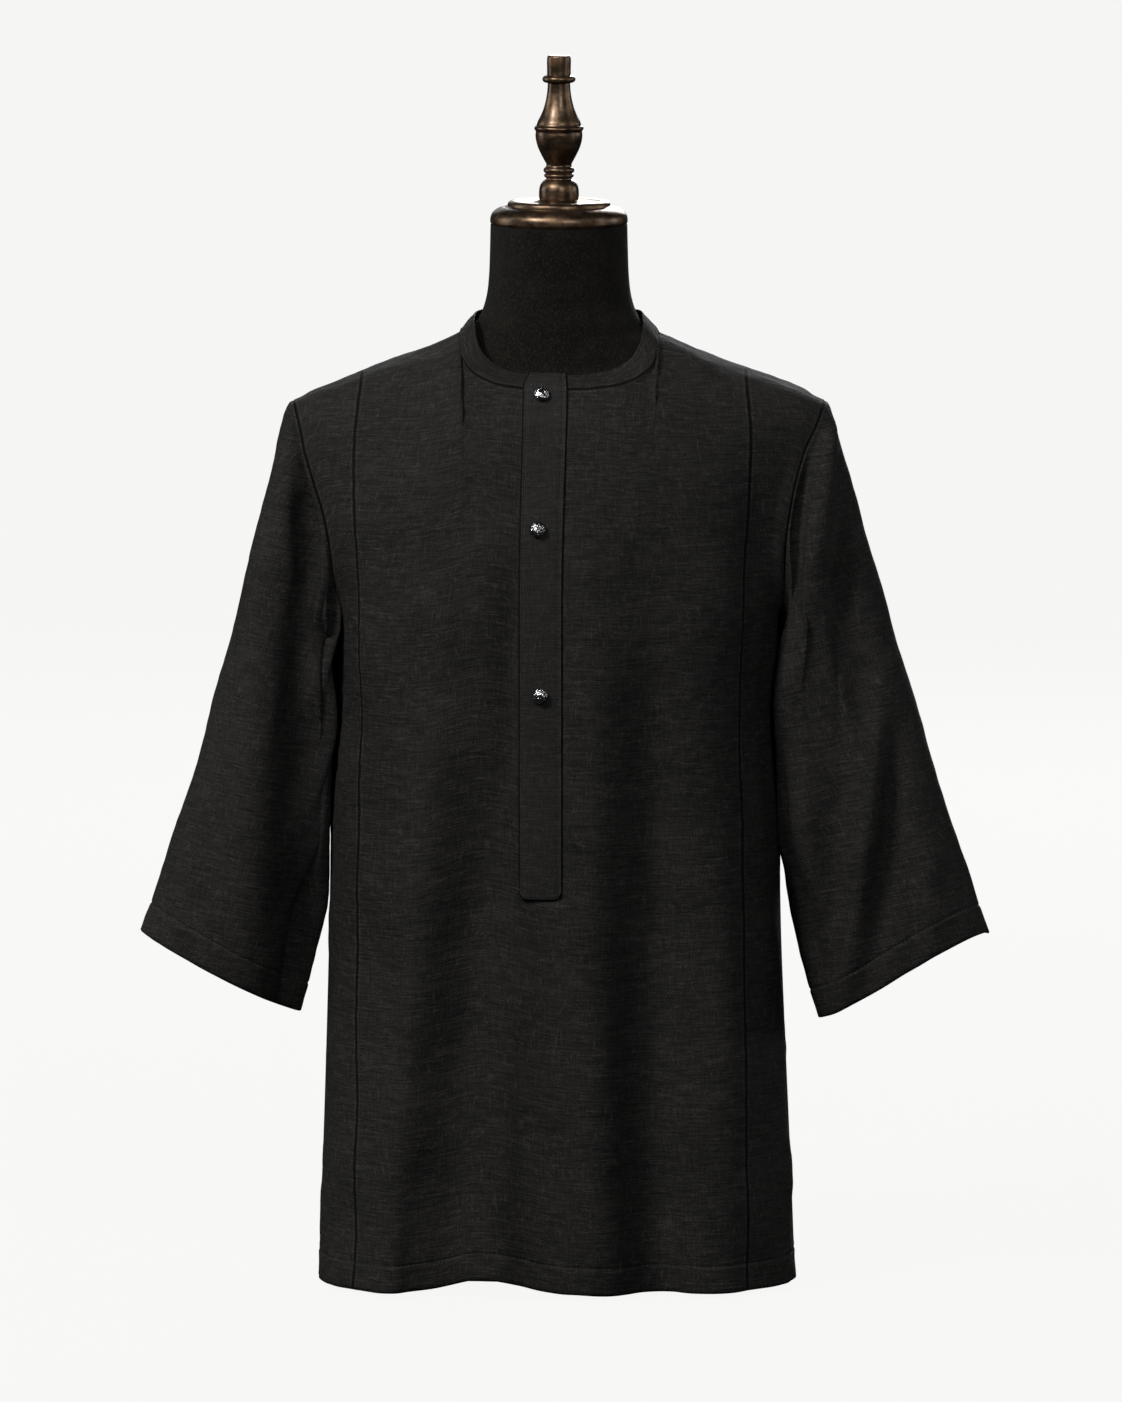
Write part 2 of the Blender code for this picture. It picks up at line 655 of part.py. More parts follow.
def sleeve_grid(sleeve, loop, folds):
    """Rings from the armhole to the cuff. The underarm turns down at once, and hangs beside the body."""
    angles = loop_angles(loop)
    right = loop * (sleeve.side, 1.0, 1.0) + (SEAM_GAP, 0.0, 0.0)
    grid = np.zeros((SLEEVE_ROWS + 1, len(angles), 3))
    for j, angle in enumerate(angles):
        start, end = right[j], cuff_point(sleeve, angle)
        top = 0.5 - 0.5 * math.cos(math.radians(angle))
        fore = math.sin(math.radians(angle))
        first_out, first_up = mix(np.array(UNDERARM_START), np.array(sleeve.top_start), top)
        last_out, last_up = mix(np.array(UNDERARM_END), np.array(sleeve.top_end), top)
        spread = np.array((mix(*SIDE_SPREAD, top), SIDE_PULL[0] * fore, SIDE_PULL[1]))
        spread *= abs(fore) ** SIDE_SPREAD_POWER
        first = np.array((first_out, 0.0, first_up)) + spread
        last = np.array((last_out, 0.0, last_up))
        for k in range(SLEEVE_ROWS + 1):
            t = (k / SLEEVE_ROWS) ** SLEEVE_ROW_CROWD
            grid[k, j] = hermite(start, first, end, last, t)
    normals = grid_normals(grid, unit(grid - grid.mean(axis=1, keepdims=True)), True)
    for k in range(SLEEVE_ROWS + 1):
        t = (k / SLEEVE_ROWS) ** SLEEVE_ROW_CROWD
        for j, angle in enumerate(angles):
            push = 0.0
            for fold in folds:
                place = mix(fold.top_angle, fold.cuff_angle, t)
                ends_early = fold.end < 1.0
                along = smooth(0.0, FOLD_START, t) * smooth(fold.start, fold.start + FOLD_RAMP, t)
                along *= 1.0 - smooth(fold.end - FOLD_END_RAMP, fold.end, t) * ends_early
                push += fold.rise * along * bump(angle - place, fold.width)
            grid[k, j] += normals[k, j] * push
    return grid * (sleeve.side, 1.0, 1.0)


def keep_off_body(grid, side, room):
    """Moves the sleeve's points that would meet the body's side out to it, with room between."""
    out = grid.copy()
    for k in range(1, grid.shape[0]):
        clear = SEAM_GAP + room * smooth(0.0, 0.10, k / SLEEVE_ROWS)
        for j in range(grid.shape[1]):
            x, y, z = grid[k, j]
            if z > UNDERARM:
                share = (z - UNDERARM) / (ridge_height(SHOULDER_HALF) - UNDERARM)
                limit = armhole_half(min(1.0, share), side) if share < 0.5 else 0.0
            else:
                height = max(z, 0.0)
                depth = read(SECTIONS, "front" if y < 0 else "back", height)
                across = min(1.0, abs(y) / depth)
                limit = read(SECTIONS, "half_width", height) * side_curve(across, section_squareness(height))
                limit += side * read(SECTIONS, "shift", height)
            out[k, j, 0] = side * max(side * x, limit + clear)
    return out


def make_sleeve(name, sleeve, front, back, folds, material):
    loop = sleeve_loop(front, back, sleeve.side)
    grid = keep_off_body(sleeve_grid(sleeve, loop, folds), sleeve.side, SLEEVE_ROOM)
    centre = grid.mean(axis=1, keepdims=True)
    normals = grid_normals(grid, unit(grid - centre), True)
    radial = (grid[0] - grid[0].mean(axis=0)) * (0.0, 1.0, 1.0)
    normals[0] = unit(radial)
    make_wall(name, grid, grid - normals * CLOTH, material, round_it=True)


def make_placket(front, front_normals, collar, collar_normals_grid, material):
    """A strip on the centre panel, from its foot up over the collar, made from their points moved out."""
    first_row = LOW_ROWS.index(PLACKET_FOOT)
    yoke = YOKE_CELLS + SIDE_CELLS
    picks = [yoke + c for c in PLACKET_COLUMNS]
    base, way = front[first_row:, picks], front_normals[first_row:, picks]
    ring = [-2, -1, 1]
    upper, upper_way = collar[:, ring], collar_normals_grid[:, ring]
    way = way.copy()
    way[-1] = unit(way[-1] + upper_way[0])
    base, way = np.concatenate([base, upper[1:]]), np.concatenate([way, upper_way[1:]])
    base = base.copy()
    base[-1] += unit(base[-1] - base[-2]) * PLACKET_OVER_COLLAR
    corner = FOOT_CORNER / (LOW_ROWS[first_row + 1] - PLACKET_FOOT)
    above, above_way = mix(base[0], base[1], corner), unit(mix(way[0], way[1], corner))
    base, way = np.insert(base, 1, above, axis=0), np.insert(way, 1, above_way, axis=0)
    for edge in (0, 2):
        across = np.linalg.norm(base[0, 1] - base[0, edge])
        base[0, edge] = mix(base[0, edge], base[0, 1], FOOT_CORNER / across)
    outer = base + way * (SEAM_GAP + PLACKET_CLOTH)
    make_wall("placket", outer, base + way * SEAM_GAP, material)


def share_edge_normals(front, back, band, ring_length):
    """Edges that meet at the shoulders and neckline get one direction, so that their walls lie in line."""
    first = YOKE_CELLS + SIDE_CELLS
    neck_cells, start = len(FRONT_NECK), PLACKET_COLUMNS[1]
    last_front, last_back = first + neck_cells - 1, first + len(BACK_NECK) - 1
    for k in range(first + 1):
        for i, j in ((k, k), (last_front + k, last_back + k)):
            front[-1, i] = back[-1, j] = unit(front[-1, i] + back[-1, j])
    for index in range(neck_cells):
        place = index - start if index >= start else ring_length - 1 - start + index
        front[-1, first + index] = band[0, place] = unit(front[-1, first + index] + band[0, place])
    band[0, 0] = band[0, -1] = front[-1, first + start]
    for index in range(len(BACK_NECK)):
        place = neck_cells - start + len(BACK_NECK) - 2 - index
        if index in (0, len(BACK_NECK) - 1):
            back[-1, first + index] = band[0, place]
        else:
            back[-1, first + index] = band[0, place] = unit(back[-1, first + index] + band[0, place])


def make_shirt(linen, placket_linen):
    front, back = body_grid("front"), body_grid("back")
    front_normals, back_normals = body_normals(front, "front"), body_normals(back, "back")
    ring = neck_ring(front, back)
    collar = collar_grid(ring)
    band_normals = collar_normals(collar)

    share_edge_normals(front_normals, back_normals, band_normals, len(ring))

    left, right = SIDE_CELLS, len(front[0]) - 1 - SIDE_CELLS
    parts = {
        "front_side_left": slice(0, left + 1),
        "front_centre": slice(left, right + 1),
        "front_side_right": slice(right, None),
    }
    for name, columns in parts.items():
        cloth_panel(name, front[:, columns], front_normals[:, columns], ("top", "left", "right"), linen)
    cloth_panel("back", back, back_normals, ("top", "left", "right"), linen)

    band = pulled(collar, ("bottom", "left", "right"), SEAM_GAP)
    make_wall("collar_band", band, band - band_normals * COLLAR_CLOTH, linen)

    names, folds_of_each = ("sleeve_left", "sleeve_right"), (LEFT_SLEEVE_FOLDS, RIGHT_SLEEVE_FOLDS)
    for name, sleeve, folds in zip(names, SLEEVES, folds_of_each):
        make_sleeve(name, sleeve, front, back, folds, linen)
    make_placket(front, front_normals, collar, band_normals, placket_linen)


# Turned pieces and the dress form


def turned(profile, foot, sides):
    """Rings of points for a turned solid with flat ends."""
    rings = []
    turns = [2 * math.pi * k / sides for k in range(sides)]
    for radius, height in profile:
        across = [(radius * math.sin(t), NECK_MIDDLE - radius * math.cos(t)) for t in turns]
        rings.append([(x, y, foot + height) for x, y in across])
    return np.array(rings)


def ringed_solid(name, rings, material, smooth_angle=40.0):
    """A closed solid through level rings, with flat ends."""
    rows, sides = rings.shape[:2]
    points = list(rings.reshape(-1, 3))
    faces = [tuple(reversed(range(sides))), tuple((rows - 1) * sides + k for k in range(sides))]
    for r in range(rows - 1):
        for k in range(sides):
            n = (k + 1) % sides
            faces.append((r * sides + k, r * sides + n, (r + 1) * sides + n, (r + 1) * sides + k))
    return make_object(name, points, faces, material, smooth_angle)


def form_rings():
    """The form's level sections, its shoulder ends just under the shirt's shoulder line."""
    rings = list(FORM_LOW)
    under = (CLOTH + FORM_CLEARANCE) / math.cos(math.atan(SHOULDER_FALL))
    for height, front, back, squareness in zip(
        FORM_SHOULDER_ROWS, FORM_SHOULDER_FRONTS, FORM_SHOULDER_BACKS, FORM_SHOULDER_SQUARENESS
    ):
        low, high = 0.05, FORM_LOW[-1].half_width + 0.02
        for _ in range(40):
            middle = (low + high) / 2
            low, high = (middle, high) if ridge_height(middle) - under > height else (low, middle)
        half = min(low, FORM_LOW[-1].half_width + 0.001)
        rings.append(FormRing(height, half, front, back, 0.0, squareness))
    return rings + list(FORM_NECK)


def form_ring_points(ring):
    points = []
    for k in range(FORM_SIDES):
        turn = 2 * math.pi * k / FORM_SIDES
        power = 2.0 / ring.squareness
        out, fore = math.sin(turn), -math.cos(turn)
        x = ring.half_width * math.copysign(abs(out) ** power, out) if abs(out) > 1e-9 else 0.0
        depth = ring.front if fore < 0 else ring.back
        y = depth * math.copysign(abs(fore) ** power, fore) if abs(fore) > 1e-9 else 0.0
        points.append((x, ring.middle + y, ring.height))
    return points


def make_form(cover, wood):
    rings = np.array([form_ring_points(ring) for ring in form_rings()])
    ringed_solid("form_torso", rings, cover, 50.0)
    ringed_solid("neck_cap", turned(CAP_PROFILE, CAP_FOOT, TURNED_SIDES + 6), wood, 35.0)
    ringed_solid("finial", turned(FINIAL_PROFILE, FINIAL_FOOT, TURNED_SIDES), wood, 35.0)


def make_buttons(material):
    """Domed shank buttons, each standing on the placket and facing the way it faces."""
    turns = [2 * math.pi * k / BUTTON_SIDES for k in range(BUTTON_SIDES)]
    for index, (x, height) in enumerate(BUTTONS):
        if height > UNDERARM:
            y = upper_y(x, share_of(x, height), "front")
            below = upper_y(x, share_of(x, height - 0.01), "front")
        else:
            y, below = lower_y(x, height, "front"), lower_y(x, height - 0.01, "front")
        up = np.array((0.0, y - below, 0.01))
        up /= np.linalg.norm(up)
        out = np.array((0.0, -up[2], up[1]))
        right = np.array((1.0, 0.0, 0.0))
        centre = np.array((x, y, height)) + out * (BUTTON_GAP + PLACKET_CLOTH)
        rings = []
        for radius, rise in BUTTON_PROFILE:
            around = [(right * math.sin(t) + up * math.cos(t)) * radius * BUTTON_RADIUS for t in turns]
            rings.append([centre + out * rise * BUTTON_HEIGHT + point for point in around])
        ringed_solid(f"button_{index + 1}", np.array(rings), material, 60.0)


def make_material(name, colour, roughness, metallic=0.0):
    material = bpy.data.materials.new(name)
    material.use_nodes = True
    shader = material.node_tree.nodes["Principled BSDF"]
    shader.inputs["Base Color"].default_value = (*colour, 1.0)
    shader.inputs["Roughness"].default_value = roughness
    shader.inputs["Metallic"].default_value = metallic
    return material


def main():
    for item in list(bpy.data.objects):
        bpy.data.objects.remove(item)
    linen = make_material("linen", (0.018, 0.018, 0.019), 0.85)
    placket_linen = make_material("placket_linen", (0.020, 0.020, 0.021), 0.8)
    cover = make_material("form_cover", (0.012, 0.012, 0.011), 0.9)
    wood = make_material("bronzed_wood", (0.075, 0.045, 0.025), 0.35, 0.6)
    metal = make_material("button_metal", (0.05, 0.05, 0.055), 0.12, 1.0)
    make_shirt(linen, placket_linen)
    make_form(cover, wood)
    make_buttons(metal)


main()
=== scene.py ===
"""The looks of a black linen tunic shirt on a limbless dress form with a turned finial.

Every cloth piece is a thin shell on the same surface as its solid, with its creases, hems and seams.
Metres, +Z up, the front faces -Y.
"""

import math
from collections import namedtuple

import bpy
import numpy as np
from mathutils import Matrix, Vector


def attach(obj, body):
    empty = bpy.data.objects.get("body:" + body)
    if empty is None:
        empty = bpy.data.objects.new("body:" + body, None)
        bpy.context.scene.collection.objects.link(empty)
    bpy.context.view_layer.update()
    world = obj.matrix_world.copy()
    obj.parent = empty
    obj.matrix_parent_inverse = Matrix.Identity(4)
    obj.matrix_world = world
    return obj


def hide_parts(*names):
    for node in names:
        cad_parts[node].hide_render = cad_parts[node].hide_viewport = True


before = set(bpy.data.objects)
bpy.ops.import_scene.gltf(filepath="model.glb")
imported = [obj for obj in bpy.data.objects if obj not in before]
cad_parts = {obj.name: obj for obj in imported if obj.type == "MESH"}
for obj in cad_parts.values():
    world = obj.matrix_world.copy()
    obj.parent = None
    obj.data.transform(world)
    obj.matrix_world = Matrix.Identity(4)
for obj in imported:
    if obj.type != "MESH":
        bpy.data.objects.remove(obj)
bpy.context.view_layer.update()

MM = 0.001

# Cloth walls and the room between pieces
CLOTH = 1.5 * MM
SEAM_GAP = 0.3 * MM
HALF_GAP = SEAM_GAP / 2

# Main heights of the shirt
HEM = 0.0050
UNDERARM = 0.585
PLACKET_FOOT = 0.3536
NECK_FRONT = 0.7990

# Level sections of the body from the hem to the underarm
Section = namedtuple("Section", "height half_width front back shift")
SECTIONS = (
    Section(0.000, 0.2106, 0.1195, 0.1165, -0.0020),
    Section(0.090, 0.2072, 0.1190, 0.1150, -0.0020),
    Section(0.200, 0.2030, 0.1185, 0.1120, -0.0026),
    Section(0.330, 0.1988, 0.1190, 0.1090, -0.0034),
    Section(0.450, 0.1978, 0.1230, 0.1100, -0.0026),
    Section(0.585, 0.1975, 0.1300, 0.1140, 0.0000),
)
SECTION_SQUARENESS = 2.35
HEM_SQUARENESS = 2.9

# Shoulder line, seen from the front
SHOULDER_HALF = 0.2325
SHOULDER_FALL = 0.385
SHOULDER_AT = (0.2174, 0.7892)
SHOULDER_END_DROP = 0.0030
NECK_HALF = 0.0875
NECK_RISE = 0.0205
NECK_RISE_WIDTH = 0.055
NECK_CROWN = 0.021
RIDGE_BACK_AT_NECK = 0.035
NECK_BACK = 0.075
NECK_SQUARENESS = 2.7
SEAM_FORWARD_LEFT = 0.010
SEAM_FORWARD_RIGHT = 0.018
SEAM_FORWARD_ENDS = (0.150, 0.228)

# Roundness of the profile over the shoulder, at the centre and at the armhole
FRONT_ROLL = (2.65, 2.9)
BACK_ROLL = (2.5, 3.0)

# Armhole: half width by share of its height, and how far it reaches forward and back
Armhole = namedtuple("Armhole", "share left right")
ARMHOLE = (
    Armhole(0.000, 0.1975, 0.1975),
    Armhole(0.200, 0.1975, 0.1975),
    Armhole(0.340, 0.2008, 0.1982),
    Armhole(0.485, 0.2065, 0.2022),
    Armhole(0.615, 0.2142, 0.2070),
    Armhole(0.765, 0.2225, 0.2155),
    Armhole(0.880, 0.2268, 0.2248),
    Armhole(1.000, 0.2325, 0.2325),
)
ARMHOLE_FRONT = 0.064
ARMHOLE_BACK = 0.072
ARMHOLE_ROUND = 0.45
CHEST_SQUARENESS = 2.6
CHEST_BLEND = 0.40

# Seams between the centre panel and the side panels, by height
PanelSeam = namedtuple("PanelSeam", "height left right")
PANEL_SEAMS = (
    PanelSeam(0.000, -0.1790, 0.1652),
    PanelSeam(0.330, -0.1765, 0.1612),
    PanelSeam(0.520, -0.1745, 0.1615),
    PanelSeam(0.640, -0.1770, 0.1660),
    PanelSeam(0.740, -0.1790, 0.1680),
    PanelSeam(0.810, -0.1725, 0.1637),
)

# Grid columns from side neck to side neck: where they stand at the hem and at the neckline
NeckColumn = namedtuple("NeckColumn", "low top")
FRONT_NECK = (
    NeckColumn(-0.0875, -0.0875),
    NeckColumn(-0.0790, -0.0872),
    NeckColumn(-0.0680, -0.0860),
    NeckColumn(-0.0570, -0.0775),
    NeckColumn(-0.0455, -0.0580),
    NeckColumn(-0.0345, -0.0310),
    NeckColumn(-0.0160, -0.0120),
    NeckColumn(0.0025, 0.0070),
    NeckColumn(0.0185, 0.0340),
    NeckColumn(0.0345, 0.0590),
    NeckColumn(0.0500, 0.0765),
    NeckColumn(0.0640, 0.0856),
    NeckColumn(0.0765, 0.0871),
    NeckColumn(0.0875, 0.0875),
)
PLACKET_COLUMNS = (5, 6, 7)
BACK_NECK = tuple(
    NeckColumn(low, top)
    for low, top in (
        (-0.0875, -0.0875), (-0.0730, -0.0868), (-0.0585, -0.0832), (-0.0440, -0.0708),
        (-0.0290, -0.0515), (-0.0145, -0.0270), (0.0000, 0.0000), (0.0145, 0.0270),
        (0.0290, 0.0515), (0.0440, 0.0708), (0.0585, 0.0832), (0.0730, 0.0868), (0.0875, 0.0875),
    )
)
NECK_SIDE_DEPTH = 0.004
YOKE_CELLS = 4
SIDE_CELLS = 4

# Grid rows: heights below the underarm, and shares of the way up above it
LOW_ROWS = (0.0, 0.03, 0.08, 0.14, 0.20, 0.26, 0.31, PLACKET_FOOT, 0.40, 0.445, 0.485, 0.52, 0.555, UNDERARM)
HIGH_ROWS = 13
HIGH_ROW_CROWD = 1.5

# Hanging folds of the skirt: where they lie at the hem and where they run out
Fold = namedtuple("Fold", "hem_x top_x top_height rise width")
FRONT_FOLDS = (
    Fold(-0.131, -0.118, 0.30, -0.0075, 0.021),
    Fold(-0.055, -0.045, 0.36, 0.0045, 0.034),
    Fold(0.080, 0.040, 0.50, -0.0070, 0.021),
    Fold(0.126, 0.112, 0.36, 0.0035, 0.022),
    Fold(-0.030, -0.040, 0.62, -0.0030, 0.016),
)
BACK_FOLDS = (
    Fold(-0.105, -0.070, 0.45, -0.0080, 0.026),
    Fold(-0.030, -0.022, 0.36, 0.0050, 0.028),
    Fold(0.045, 0.030, 0.50, -0.0070, 0.024),
    Fold(0.125, 0.100, 0.34, -0.0065, 0.022),
)

# Height of the hem above its general level, along the front and the back
HemWave = namedtuple("HemWave", "x rise width")
FRONT_HEM = (HemWave(-0.064, 0.0135, 0.042), HemWave(0.020, 0.0015, 0.020))
BACK_HEM = (HemWave(0.050, 0.0040, 0.030), HemWave(-0.105, 0.0030, 0.025))
HEM_SIDE_RISE = 0.0010

# Collar band: its upper edge, and how far it climbs at the front, side and back
COLLAR_HALF = 0.0735
COLLAR_FRONT = 0.0712
COLLAR_BACK = 0.066
COLLAR_CLIMB_SIDE = 0.0155
COLLAR_CLIMB_FRONT_LESS = 0.0064
COLLAR_CLIMB_BACK_MORE = 0.0024

# Sleeves: cuff corners as (distance out, height), its depth and place, the pull of the top line at both ends
Sleeve = namedtuple("Sleeve", "side outer inner depth middle top_start top_end front_lift")
SLEEVES = (
    Sleeve(-1, (0.3680, 0.3145), (0.2285, 0.2425), 0.1080, -0.012, (0.038, -0.030), (0.234, -0.630), 0.000),
    Sleeve(1, (0.3785, 0.3110), (0.2289, 0.2366), 0.1120, -0.012, (0.024, -0.030), (0.157, -0.434), 0.015),
)
UNDERARM_START = (0.012, -0.020)
UNDERARM_END = (0.170, -0.450)
SLEEVE_ROOM = 1.5 * MM
SIDE_PULL = (-0.030, -0.160)
SIDE_SPREAD = (-0.050, 0.030)
SLEEVE_ROWS = 18
SLEEVE_ROW_CROWD = 1.25
SIDE_SPREAD_POWER = 0.8
FOLD_START, FOLD_RAMP, FOLD_END_RAMP = 0.05, 0.2, 0.3

# Folds of the sleeve: place round it in degrees from the underarm, front first, at its top and its cuff
SleeveFold = namedtuple("SleeveFold", "top_angle cuff_angle start end rise width")
LEFT_SLEEVE_FOLDS = (
    SleeveFold(128, 48, 0.05, 0.95, -0.0120, 17),
    SleeveFold(96, 30, 0.08, 0.62, 0.0060, 13),
    SleeveFold(300, 315, 0.15, 1.0, -0.0080, 22),
    SleeveFold(180, 180, -0.1, 0.38, 0.0025, 45),
)
RIGHT_SLEEVE_FOLDS = (
    SleeveFold(138, 70, 0.05, 0.80, 0.0060, 14),
    SleeveFold(150, 100, 0.15, 1.0, -0.0070, 15),
    SleeveFold(112, 40, 0.05, 0.70, -0.0090, 16),
    SleeveFold(300, 315, 0.15, 1.0, -0.0080, 22),
    SleeveFold(180, 180, -0.1, 0.38, 0.0025, 45),
)

# Placket buttons: across from the centre, and height
BUTTONS = ((-0.0150, 0.7941), (-0.0184, 0.6793), (-0.0161, 0.5337))
BUTTON_RADIUS = 6.8 * MM
BUTTON_HEIGHT = 6.0 * MM

# Dress form: level sections, with the shoulder ends squeezed narrow
FormRing = namedtuple("FormRing", "height half_width front back middle squareness")
FORM_LOW = (
    FormRing(0.000, 0.138, 0.013, 0.090, 0.000, 2.2),
    FormRing(0.0045, 0.147, 0.041, 0.094, 0.000, 2.2),
    FormRing(0.0110, 0.155, 0.072, 0.097, 0.000, 2.2),
    FormRing(0.0250, 0.160, 0.084, 0.100, 0.000, 2.2),
    FormRing(0.120, 0.163, 0.088, 0.102, 0.000, 2.2),
    FormRing(0.230, 0.162, 0.090, 0.101, 0.000, 2.2),
    FormRing(0.340, 0.148, 0.088, 0.092, 0.000, 2.2),
    FormRing(0.420, 0.141, 0.090, 0.085, 0.000, 2.2),
    FormRing(0.520, 0.156, 0.101, 0.093, 0.000, 2.2),
    FormRing(0.610, 0.170, 0.110, 0.100, 0.000, 2.2),
    FormRing(0.680, 0.180, 0.110, 0.100, 0.000, 2.1),
    FormRing(0.730, 0.192, 0.104, 0.094, 0.000, 1.95),
    FormRing(0.765, 0.200, 0.096, 0.086, 0.001, 1.75),
    FormRing(0.785, 0.204, 0.089, 0.080, 0.002, 1.60),
)
FORM_SHOULDER_ROWS = (0.7945, 0.803, 0.813, 0.824, 0.834)
FORM_SHOULDER_FRONTS = (0.0780, 0.0695, 0.0640, 0.0620, 0.0610)
FORM_SHOULDER_BACKS = (0.078, 0.075, 0.072, 0.069, 0.067)
FORM_SHOULDER_SQUARENESS = (1.55, 1.55, 1.60, 1.70, 1.80)
FORM_NECK = (
    FormRing(0.8420, 0.0800, 0.0602, 0.0640, 0.0, 1.9),
    FormRing(0.8500, 0.0725, 0.0596, 0.0622, 0.0, 2.0),
    FormRing(0.8610, 0.0668, 0.0590, 0.0612, 0.0, 2.0),
    FormRing(0.8740, 0.0632, 0.0585, 0.0608, 0.0, 2.0),
    FormRing(0.8900, 0.0614, 0.0580, 0.0605, 0.0, 2.0),
    FormRing(0.9100, 0.0606, 0.0580, 0.0600, 0.0, 2.0),
    FormRing(0.9352, 0.0600, 0.0580, 0.0600, 0.0, 2.0),
)
FORM_SIDES = 28
FORM_CLEARANCE = 1.2 * MM
NECK_MIDDLE = 0.001

# Feet of the turned pieces
CAP_FOOT = 0.9355
FINIAL_FOOT = CAP_FOOT + 0.0212 + SEAM_GAP


def smooth(low, high, value):
    share = min(1.0, max(0.0, (value - low) / (high - low)))
    return share * share * (3.0 - 2.0 * share)


def mix(a, b, share):
    return a + (b - a) * share


def read(table, column, at):
    """The named column's value at a place along the first column, on a smooth curve through the rows."""
    places = [row[0] for row in table]
    values = [getattr(row, column) for row in table]
    if at <= places[0]:
        return values[0]
    if at >= places[-1]:
        return values[-1]
    i = max(k for k in range(len(places) - 1) if places[k] <= at)
    step = places[i + 1] - places[i]
    t = (at - places[i]) / step

    def slope(k):
        low, high = max(k - 1, 0), min(k + 1, len(places) - 1)
        return (values[high] - values[low]) / (places[high] - places[low])

    return (
        values[i] * (2 * t**3 - 3 * t**2 + 1)
        + slope(i) * step * (t**3 - 2 * t**2 + t)
        + values[i + 1] * (3 * t**2 - 2 * t**3)
        + slope(i + 1) * step * (t**3 - t**2)
    )


def bump(distance, width):
    return math.exp(-((distance / width) ** 2))


# The shoulder line and the roll over it


def ridge_height(x):
    """Height of the shoulder line. Inside the neck it runs on as a low arch, a guide for the neckline."""
    x = abs(x)
    if x < NECK_HALF:
        return ridge_height(NECK_HALF) + NECK_CROWN * (1.0 - (x / NECK_HALF) ** 2)
    line = SHOULDER_AT[1] + SHOULDER_FALL * (SHOULDER_AT[0] - x)
    end_drop = SHOULDER_END_DROP * smooth(SHOULDER_AT[0] - 0.003, SHOULDER_HALF, x)
    return line + NECK_RISE * bump(x, NECK_RISE_WIDTH) - end_drop


def ridge_depth(x):
    return RIDGE_BACK_AT_NECK * math.cos(math.pi / 2 * min(1.0, abs(x) / NECK_HALF)) ** 2


def roundness(x, side):
    centre, end = FRONT_ROLL if side == "front" else BACK_ROLL
    return mix(centre, end, min(1.0, abs(x) / SHOULDER_HALF))


def seam_forward(x):
    forward = SEAM_FORWARD_LEFT if x < 0 else SEAM_FORWARD_RIGHT
    return forward * (1.0 - smooth(*SEAM_FORWARD_ENDS, abs(x)))


def armhole_half(share, x):
    return read(ARMHOLE, "left" if x < 0 else "right", share)


def side_curve(share_across, squareness):
    return max(0.0, 1.0 - min(1.0, abs(share_across)) ** squareness) ** (1.0 / squareness)


def upper_depth(x, share, side):
    """How far the cloth stands from the ridge line above the underarm, before the roll over the shoulder."""
    across = min(1.0, abs(x) / armhole_half(share, x))
    reach = ARMHOLE_FRONT if side == "front" else ARMHOLE_BACK
    edge = reach * math.sqrt(1.0 - (1.0 - min(1.0, share / ARMHOLE_ROUND)) ** 2)
    middle = SECTIONS[-1].front if side == "front" else SECTIONS[-1].back
    low, high = side_curve(across, SECTION_SQUARENESS), 1.0 - across**CHEST_SQUARENESS
    return mix(edge, middle, mix(low, high, smooth(0.0, CHEST_BLEND, share)))


def upper_y(x, share, side):
    """Depth of the cloth at a share of the way from the underarm level to the ridge line."""
    power = roundness(x, side)
    roll = max(0.0, 1.0 - min(1.0, share) ** power) ** (1.0 / power)
    ridge = ridge_depth(x)
    if side == "front":
        return ridge - (upper_depth(x, share, side) + ridge) * roll
    return ridge + (upper_depth(x, share, side) - ridge) * roll


def section_squareness(height):
    return mix(HEM_SQUARENESS, SECTION_SQUARENESS, smooth(0.0, 0.40, height))


def lower_y(x, height, side):
    """Depth of the hanging body at a height below the underarm, folds included."""
    half = read(SECTIONS, "half_width", height)
    across = (x - read(SECTIONS, "shift", height)) / half
    depth = read(SECTIONS, side, height) * side_curve(across, section_squareness(height))
    edge_fade = 1.0 - smooth(0.86, 1.0, abs(across))
    for fold in FRONT_FOLDS if side == "front" else BACK_FOLDS:
        up = min(1.0, height / fold.top_height)
        place = mix(fold.hem_x, fold.top_x, up)
        depth += fold.rise * (1.0 - smooth(0.0, 1.0, up)) * bump(x - place, fold.width) * edge_fade
    return -depth if side == "front" else depth


def hem_height(x, side):
    waves = FRONT_HEM if side == "front" else BACK_HEM
    rise = HEM_SIDE_RISE * smooth(0.14, 0.21, abs(x))
    return HEM + rise + sum(wave.rise * bump(x - wave.x, wave.width) for wave in waves)


# Columns and rows of the body's grid


def neckline_front(x, side_height):
    across = min(1.0, abs(x) / NECK_HALF)
    return side_height - (side_height - NECK_FRONT) * side_curve(across, NECK_SQUARENESS)


def angle_of_share(share, power):
    return math.asin(min(1.0, share) ** (power / 2.0))


def share_of(x, height):
    return (height - UNDERARM) / (ridge_height(x) - UNDERARM)


def share_at_depth(x, y, side):
    """Share of the height at which the profile at x reaches depth y, by halving."""
    low, high = 0.3, 1.0
    for _ in range(40):
        middle = (low + high) / 2
        outside = upper_y(x, middle, side) < y if side == "front" else upper_y(x, middle, side) > y
        low, high = (middle, high) if outside else (low, middle)
    return (low + high) / 2


